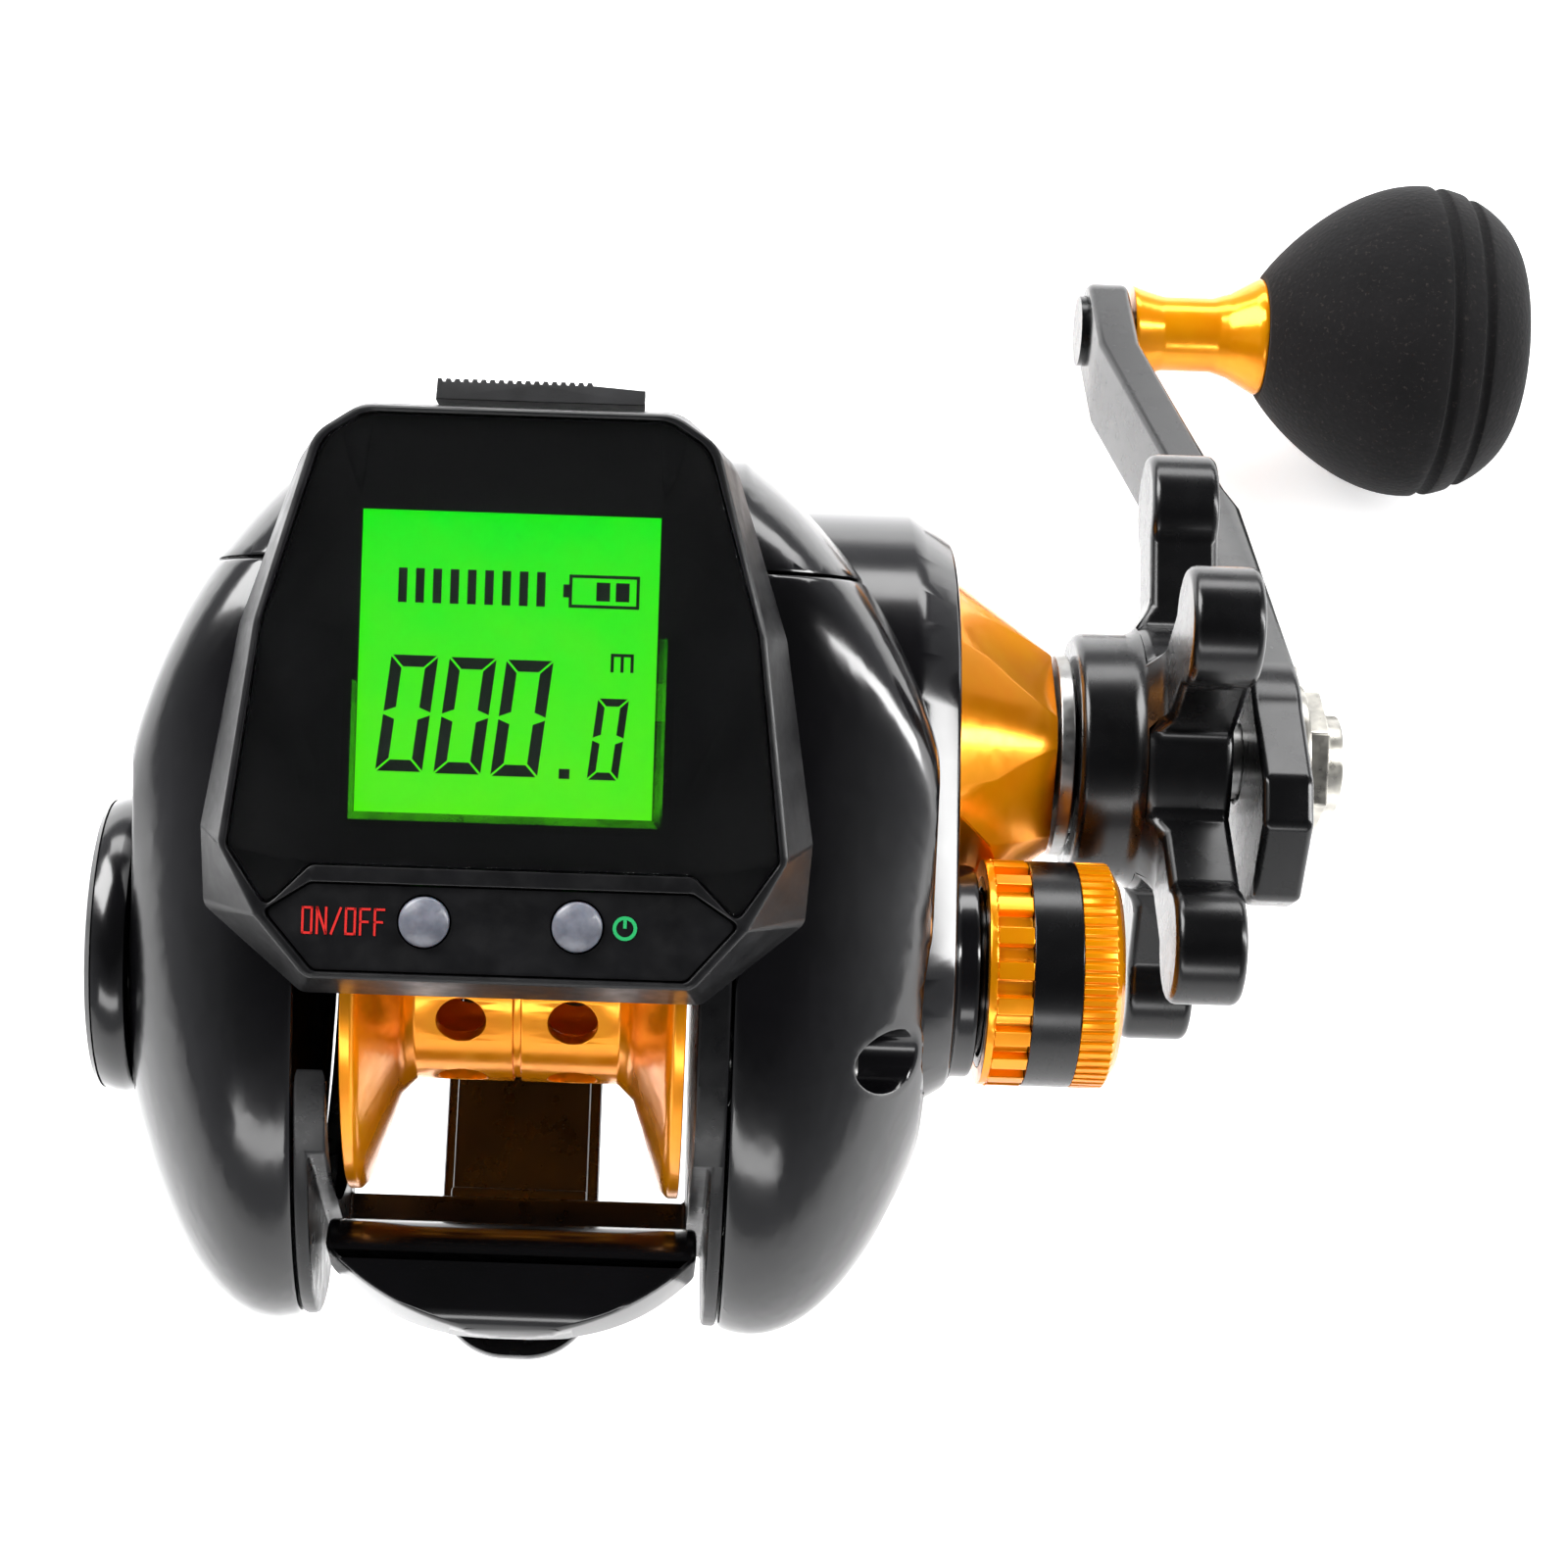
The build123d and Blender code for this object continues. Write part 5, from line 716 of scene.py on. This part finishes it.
class REEL_OT_stage(bpy.types.Operator):
    """Make the floor, the soft lamps and the camera"""
    bl_idname = "reel.stage"
    bl_label = "Stage"

    def execute(self, context):
        sizes = context.scene.reel_stage
        self.make_floor()
        self.make_world(context)
        for name, (place, size, power) in LAMPS.items():
            self.make_lamp(name, Vector(place), size, power * sizes.lamps)
        self.make_camera(context, sizes)
        return {"FINISHED"}

    def make_floor(self):
        """Plain floor under the lowest point, seen white where it is lit."""
        bm = bmesh.new()
        bmesh.ops.create_circle(bm, cap_ends=True, segments=64, radius=FLOOR_RADIUS)
        bmesh.ops.translate(bm, verts=bm.verts, vec=(0, 0, CAD_BOX[0].z - FLOOR_GAP))
        mesh = bpy.data.meshes.new("floor")
        bm.to_mesh(mesh)
        bm.free()
        floor = bpy.data.objects.new("floor", mesh)
        bpy.context.scene.collection.objects.link(floor)
        material, tree, shader, coords = start_material("floor_paper", Roughness=0.9)
        paper = blend_colours(tree, noise(tree, coords, 40 * MM), tone("#F2F2F3"), tone("#F6F6F6"))
        link(tree, paper, shader, "Base Color")
        path = add(tree, "ShaderNodeLightPath").outputs
        shown = path["Is Camera Ray"]
        for ray in ("Is Glossy Ray", "Is Transmission Ray"):
            shown = add(tree, "ShaderNodeMath", {0: shown, 1: path[ray]}, operation="ADD").outputs[0]
        away = add(tree, "ShaderNodeVectorMath", {0: coords}, operation="LENGTH").outputs["Value"]
        glow = remap(tree, away, *FLOOR_GLOW, *FLOOR_REACH)
        seen = add(tree, "ShaderNodeMath", {0: shown, 1: glow}, operation="MULTIPLY")
        link(tree, seen.outputs[0], shader, "Emission Strength")
        shader.inputs["Emission Color"].default_value = (1, 1, 1, 1)
        mesh.materials.append(material)

    def make_world(self, context):
        """Pale walls under a dark ceiling, which the camera sees as white."""
        world = bpy.data.worlds.new("studio")
        context.scene.world = world
        world.use_nodes = True
        tree = world.node_tree
        tree.nodes.clear()
        path = add(tree, "ShaderNodeLightPath")
        coords = add(tree, "ShaderNodeTexCoord").outputs["Generated"]
        split = add(tree, "ShaderNodeSeparateXYZ", {"Vector": coords})
        level = remap(tree, split.outputs["Z"], *WORLD_STRENGTH, *WORLD_HEIGHT)
        soft = add(tree, "ShaderNodeBackground", {"Color": tone("#F4F6FA"), "Strength": level})
        seen = add(tree, "ShaderNodeBackground", {"Color": (1, 1, 1, 1), "Strength": 1.0})
        mixed = add(
            tree, "ShaderNodeMixShader",
            {0: path.outputs["Is Camera Ray"], 1: soft.outputs[0], 2: seen.outputs[0]},
        )
        add(tree, "ShaderNodeOutputWorld", {"Surface": mixed.outputs[0]})

    def make_lamp(self, name, place, size, power):
        """Soft lamp that faces the spool."""
        lamp = bpy.data.lights.new(name, "AREA")
        lamp.shape = "RECTANGLE"
        lamp.size, lamp.size_y = size
        lamp.energy = power
        holder = bpy.data.objects.new(name, lamp)
        holder.location = place
        holder.rotation_euler = (SPOOL - place).to_track_quat("-Z", "Y").to_euler()
        bpy.context.scene.collection.objects.link(holder)

    def make_camera(self, context, sizes):
        """Camera square to the display face, as far off as the photograph's."""
        camera = bpy.data.cameras.new("camera")
        camera.lens = sizes.lens
        camera.sensor_width = CAMERA_SENSOR
        camera.shift_x, camera.shift_y = CAMERA_SHIFT
        camera.clip_start, camera.clip_end = CAMERA_CLIP
        holder = bpy.data.objects.new("camera", camera)
        place = Matrix.Translation((0, SPOOL.y, SPOOL.z))
        turn = Matrix.Rotation(context.scene.reel_display.tilt, 4, "X")
        aim = Matrix.Translation((*CAMERA_AIM, sizes.distance))
        holder.matrix_world = place @ turn @ aim @ Matrix.Rotation(sizes.roll, 4, "Z")
        context.scene.collection.objects.link(holder)
        context.scene.camera = holder
        context.scene.view_settings.view_transform = "Standard"


class REEL_OT_body(bpy.types.Operator):
    """Round the moulded edges of the frame, plates, cover and foot"""
    bl_idname = "reel.body"
    bl_label = "Body"

    def execute(self, context):
        edge = context.scene.reel_body.edge
        for node, name, share in (
            ("frame", "frame_casting", 1.0),
            ("palm_side_plate", "palm_shell", 1.0),
            ("handle_side_plate", "handle_shell", 1.0),
            ("front_cover", "nose_cover", 1.0),
            ("gear_housing", "gear_drum", 1.4),
            ("reel_foot", "foot_plate", 1.2),
            ("thumb_bar", "thumb_plate", 1.2),
            ("brake_dial", "brake_knob", 3.0),
        ):
            softened(node, name, edge * share)
        return {"FINISHED"}


class REEL_OT_case(bpy.types.Operator):
    """Make the bevelled display case and its tray"""
    bl_idname = "reel.case"
    bl_label = "Display case"

    def execute(self, context):
        sizes = context.scene.reel_display
        bm = bmesh.new()
        base = ring(bm, face_loop(CASE_BASE, 0, CASE_CORNERS), CASE_LOW)
        rim = ring(bm, face_loop(CASE_RIM, 0, CASE_CORNERS), sizes.height)
        wall(bm, base, rim)
        outlines = [
            face_loop(WINDOW, POCKET_GAP, WINDOW_CORNERS), face_loop(STRIP, POCKET_GAP, STRIP_CORNERS),
        ]
        tops = [ring(bm, outline, sizes.height) for outline in outlines]
        floors = [ring(bm, outline, POCKET_FLOOR) for outline in outlines]
        for top, low in zip(tops, floors):
            wall(bm, low, top)
        cap(bm, rim, *tops)
        holes = [oblong(LCD_HOLE, LCD_MIDDLE), *(circle(KEY_HOLE_R, place) for place in KEY_PLACES)]
        upper = [ring(bm, hole, POCKET_FLOOR) for hole in holes]
        lower = [ring(bm, hole, ROOM_CEILING) for hole in holes]
        for high, low in zip(upper, lower):
            wall(bm, low, high)
        cap(bm, floors[0], upper[0])
        cap(bm, floors[1], *upper[1:])
        room = face_loop(WINDOW[:-1] + STRIP[1:], -CASE_WALL, ROOM_CORNER)
        ceiling = ring(bm, room, ROOM_CEILING)
        mouth = ring(bm, room, CASE_LOW)
        cap(bm, ceiling, *lower)
        wall(bm, mouth, ceiling)
        cap(bm, base, mouth)
        bmesh.ops.recalc_face_normals(bm, faces=bm.faces)
        bevel(bm, [edge for top in tops for edge in loop_edges(bm, top)], POCKET_EDGE, FINE_STEPS)
        bevel(bm, loop_edges(bm, rim), sizes.edge, 3)
        bmesh.ops.transform(bm, matrix=face_matrix(sizes), verts=bm.verts)
        keep("case_top", bm, ["display_housing"], sharp=24.0)
        softened("display_base", "case_tray", TRAY_EDGE)
        return {"FINISHED"}


class REEL_OT_window(bpy.types.Operator):
    """Make the clear window, its printed mask, the button strip and the two keys"""
    bl_idname = "reel.window"
    bl_label = "Window and keys"

    def execute(self, context):
        sizes = context.scene.reel_display
        low = sizes.height - WINDOW_THICK
        pane = self.plate(sizes, face_loop(WINDOW, 0, WINDOW_CORNERS), [], low, sizes.height, WINDOW_EDGE)
        keep("window_plate", pane, ["display_window"], sharp=8.0)
        shown = oblong(LIT_SIZE, LIT_MIDDLE)
        film = self.plate(sizes, face_loop(WINDOW, -FILM_GAP, WINDOW_CORNERS), [shown], POCKET_FLOOR, low)
        keep("mask_film", film, ["window_mask"], sharp=20.0)
        holes = [circle(KEY_CUT_R, place) for place in KEY_PLACES]
        top = sizes.height - STRIP_DROP
        strip = self.plate(sizes, face_loop(STRIP, 0, STRIP_CORNERS), holes, POCKET_FLOOR, top, STRIP_EDGE)
        keep("button_strip", strip, ["button_panel"], sharp=24.0)
        softened("power_button", "power_key_dome", KEY_EDGE)
        softened("set_button", "set_key_dome", KEY_EDGE)
        return {"FINISHED"}

    def plate(self, sizes, outline, holes, low, high, edge=0.0):
        """Plate between two levels of the face, with openings and a rounded upper rim."""
        bm = bmesh.new()
        loops = [outline, *holes]
        lower = [ring(bm, loop, low) for loop in loops]
        upper = [ring(bm, loop, high) for loop in loops]
        for first, second in zip(lower, upper):
            wall(bm, first, second)
        cap(bm, *lower)
        cap(bm, *upper)
        bmesh.ops.recalc_face_normals(bm, faces=bm.faces)
        if edge:
            bevel(bm, loop_edges(bm, upper[0]), edge, FINE_STEPS)
        bmesh.ops.transform(bm, matrix=face_matrix(sizes), verts=bm.verts)
        return bm


class REEL_OT_figures(bpy.types.Operator):
    """Make the dark figures of the lit panel and the print beside the keys"""
    bl_idname = "reel.figures"
    bl_label = "Figures"

    def execute(self, context):
        sizes = context.scene.reel_display
        bm = bmesh.new()
        for left, low, wide, high in DIGITS:
            self.add_zero(bm, left * MM, low * MM, wide * sizes.digit_wide, high * sizes.digit_high)
        for bar in (POINT_BAR, *BATTERY_BARS, *GAUGE_BARS, *UNIT_BARS):
            self.add_bar(bm, bar)
        ink = printed_ink("liquid_crystal", "#03120A", "#04130B")
        self.finish(bm, sizes, POCKET_FLOOR, "lcd_figures", ink)
        top = sizes.height - STRIP_DROP
        bm = bmesh.new()
        for at, letter in enumerate("ON/OFF"):
            for stroke in LETTERS[letter]:
                self.add_stroke(bm, at, stroke)
        self.finish(bm, sizes, top, "power_print", printed_ink("red_ink", "#C8201C", "#C5201C"))
        bm = bmesh.new()
        self.add_ring(bm)
        self.add_bar(bm, RING_TICK)
        self.finish(bm, sizes, top, "set_print", printed_ink("green_ink", "#1FA45C", "#1FA15B"))
        return {"FINISHED"}

    def finish(self, bm, sizes, level, name, ink):
        """Gives flat figures a thin body and lays them on a level of the face."""
        made = bmesh.ops.extrude_face_region(bm, geom=bm.faces[:])["geom"]
        moved = [item for item in made if isinstance(item, bmesh.types.BMVert)]
        bmesh.ops.translate(bm, verts=moved, vec=(0, 0, INK_THICK))
        bmesh.ops.translate(bm, verts=bm.verts, vec=(0, 0, level + INK_GAP))
        bmesh.ops.transform(bm, matrix=face_matrix(sizes), verts=bm.verts)
        bmesh.ops.recalc_face_normals(bm, faces=bm.faces)
        keep(name, bm, [], ink, "frame_body", "mask")

    def add_shape(self, bm, points):
        """Flat face from points in millimetres."""
        bm.faces.new([bm.verts.new((x * MM, v * MM, 0)) for x, v in points])

    def add_bar(self, bm, bar):
        """Upright rectangle."""
        left, low, right, high = bar
        self.add_shape(bm, [(left, low), (right, low), (right, high), (left, high)])

    def add_stroke(self, bm, at, stroke):
        """Straight stroke of a letter, as wide as a pen, for the letter at a place in the row."""
        left, low = LETTER_START[0] + LETTER_PITCH * at, LETTER_START[1]
        wide, high = LETTER_SIZE
        start, end = (Vector((left + wide * x, low + high * y)) for x, y in (stroke[:2], stroke[2:]))
        along = (end - start).normalized() * PEN_WIDE / 2
        side = Vector((-along.y, along.x))
        start, end = start - along, end + along
        self.add_shape(bm, [start - side, end - side, end + side, start + side])

    def add_ring(self, bm):
        """Flat ring as a closed run of quads."""
        outer, inner = RING_RADII
        spokes = [(cos(2 * pi * at / RING_STEPS), sin(2 * pi * at / RING_STEPS)) for at in range(RING_STEPS)]
        for (ax, ay), (bx, by) in pairs_of(spokes):
            self.add_shape(bm, [
                (RING_MIDDLE[0] + radius * x, RING_MIDDLE[1] + radius * y)
                for radius, x, y in ((outer, ax, ay), (outer, bx, by), (inner, bx, by), (inner, ax, ay))
            ])

    def add_zero(self, bm, left, low, wide, high):
        """Seven-segment nought, leaning a little, as six bevelled strokes."""
        thick = STROKE_SHARE * wide
        gap = SEGMENT_GAP
        half = high / 2
        strokes = []
        for base, low_tip, high_tip in ((0.0, thick, TIP_SHARE * thick), (half, TIP_SHARE * thick, thick)):
            for side, inner in ((0.0, thick), (wide, wide - thick)):
                strokes.append([
                    (side, base + gap), (side, base + half - gap),
                    (inner, base + half - gap - high_tip), (inner, base + gap + low_tip),
                ])
        for level, inner in ((0.0, thick), (high, high - thick)):
            strokes.append([
                (gap, level), (wide - gap, level), (wide - gap - thick, inner), (gap + thick, inner),
            ])
        for stroke in strokes:
            bm.faces.new([bm.verts.new((left + x + DIGIT_LEAN * v, low + v, 0)) for x, v in stroke])


class REEL_OT_cone(bpy.types.Operator):
    """Make the gold cone, turned and then milled to five flats"""
    bl_idname = "reel.cone"
    bl_label = "Gold cone"

    def execute(self, context):
        low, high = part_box("bearing_cone")
        lip = CONE_BORE_R + CONE_SINK
        points = [
            (low.x, CONE_BORE_R), (low.x, lip), (low.x + CONE_STEP, lip), (low.x + CONE_STEP, CONE_BASE_R),
            (high.x, CONE_TIP_R), (high.x, CONE_BORE_R),
        ]
        bm = spun(points, DRIVE)
        start = low.x + CONE_STEP + CONE_FLAT_FROM * (high.x - low.x - CONE_STEP)
        start_r = CONE_BASE_R + CONE_FLAT_FROM * (CONE_TIP_R - CONE_BASE_R)
        reach = high.x - start
        for index in range(CONE_FLATS):
            angle = CONE_FIRST_FLAT + index * 2 * pi / CONE_FLATS
            out = Vector((0, cos(angle), sin(angle)))
            place = Vector((start, DRIVE.y, DRIVE.z)) + out * start_r
            self.mill(bm, place, out * reach + Vector((start_r - CONE_FLAT_TIP, 0, 0)))
        towards = Vector((0, SPOOL.y - DRIVE.y, SPOOL.z - DRIVE.z))
        room = towards.length - CAST_ROOM_R
        towards.normalize()
        self.mill(bm, Vector((low.x, DRIVE.y, DRIVE.z)) + towards * room, towards)
        soften(bm, CONE_EDGE, FINE_STEPS, CONE_EDGE_ANGLE)
        keep("cone_gold", bm, ["bearing_cone"], sharp=14.0)
        return {"FINISHED"}

    def mill(self, bm, place, out):
        """Cuts away what stands beyond a plane and closes the cut."""
        geometry = bm.verts[:] + bm.edges[:] + bm.faces[:]
        bmesh.ops.bisect_plane(bm, geom=geometry, plane_co=place, plane_no=out.normalized(), clear_outer=True)
        bmesh.ops.holes_fill(bm, edges=[edge for edge in bm.edges if edge.is_boundary], sides=0)
        bmesh.ops.recalc_face_normals(bm, faces=bm.faces)


class REEL_OT_flap(bpy.types.Operator):
    """Make the low rubber flap of the charging socket, finely ribbed along its top"""
    bl_idname = "reel.flap"
    bl_label = "Port flap"

    def execute(self, context):
        sizes = context.scene.reel_display
        points = [(FLAP_LEFT, FLAP_LOW)]
        for index in range(FLAP_RIBS):
            for share, depth in FLAP_WAVE:
                points.append((FLAP_LEFT + (index + share) * FLAP_PITCH, FLAP_TOP - depth))
        points += [(FLAP_RIGHT, FLAP_TOP - FLAP_STEP), (FLAP_RIGHT, FLAP_LOW)]
        bm = bmesh.new()
        lower = ring(bm, points, FLAP_UNDER)
        upper = ring(bm, points, FLAP_OVER)
        wall(bm, lower, upper)
        cap(bm, lower)
        cap(bm, upper)
        bmesh.ops.recalc_face_normals(bm, faces=bm.faces)
        bevel(bm, loop_edges(bm, upper), FLAP_EDGE, FINE_STEPS)
        bmesh.ops.transform(bm, matrix=face_matrix(sizes), verts=bm.verts)
        keep("port_flap_rubber", bm, ["port_cover"])
        return {"FINISHED"}


class REEL_OT_drive(bpy.types.Operator):
    """Round the edges of the spool, star wheel, handle, knob and cast control"""
    bl_idname = "reel.drive"
    bl_label = "Spool and handle"

    def execute(self, context):
        for node, name, edge, steps in (
            ("spool", "spool_gold", 0.12, 2),
            ("star_drag", "star_wheel", 0.7, 3),
            ("handle_arm", "crank_arm", 0.6, 3),
            ("handle_nut", "crank_nut", 0.25, 2),
            ("nut_retainer", "nut_plate", 0.2, 2),
            ("knob_grip", "foam_grip", 0.15, 2),
            ("knob_cap", "foam_cap", 0.3, 2),
            ("knob_collar", "gold_stem", 0.2, 2),
            ("shaft_sleeve", "grey_collar", 0.15, 2),
            ("cast_control_cap", "cast_barrel", 0.15, 2),
            ("cast_control_ring", "cast_teeth", 0.12, 2),
            ("cast_control_rim", "cast_rim", 0.05, 1),
        ):
            softened(node, name, edge * MM, steps)
        return {"FINISHED"}


class REEL_OT_inner(bpy.types.Operator):
    """Give the construction pieces their materials"""
    bl_idname = "reel.inner"
    bl_label = "Inner pieces"

    def execute(self, context):
        for node, piece in frame["nodes"].items():
            piece.data.materials.clear()
            piece.data.materials.append(finish_of(SLOT_OF[node]))
        return {"FINISHED"}


class REEL_PT_panel(bpy.types.Panel):
    """Lists the reel's builders"""
    bl_idname = "REEL_PT_panel"
    bl_label = "Reel"
    bl_space_type = "VIEW_3D"
    bl_region_type = "UI"
    bl_category = "Reel"

    def draw(self, context):
        for sizes in (context.scene.reel_body, context.scene.reel_display, context.scene.reel_stage):
            for key in sizes.__annotations__:
                self.layout.prop(sizes, key)
        for operator in OPERATORS:
            self.layout.operator(operator.bl_idname)


GROUPS = (BodySizes, DisplaySizes, StageSizes)
OPERATORS = (
    REEL_OT_stage, REEL_OT_inner, REEL_OT_body, REEL_OT_case, REEL_OT_window, REEL_OT_figures, REEL_OT_flap,
    REEL_OT_cone, REEL_OT_drive,
)


def register():
    for kind in (*GROUPS, *OPERATORS, REEL_PT_panel):
        bpy.utils.register_class(kind)
    bpy.types.Scene.reel_body = bpy.props.PointerProperty(type=BodySizes)
    bpy.types.Scene.reel_display = bpy.props.PointerProperty(type=DisplaySizes)
    bpy.types.Scene.reel_stage = bpy.props.PointerProperty(type=StageSizes)


def unregister():
    del bpy.types.Scene.reel_body
    del bpy.types.Scene.reel_display
    del bpy.types.Scene.reel_stage
    for kind in (REEL_PT_panel, *OPERATORS, *GROUPS):
        bpy.utils.unregister_class(kind)


def main():
    """Builds everything in order."""
    register()
    bpy.ops.reel.stage()
    bpy.ops.reel.inner()
    bpy.ops.reel.body()
    bpy.ops.reel.case()
    bpy.ops.reel.window()
    bpy.ops.reel.figures()
    bpy.ops.reel.flap()
    bpy.ops.reel.cone()
    bpy.ops.reel.drive()


if __name__ == "__main__":
    main()
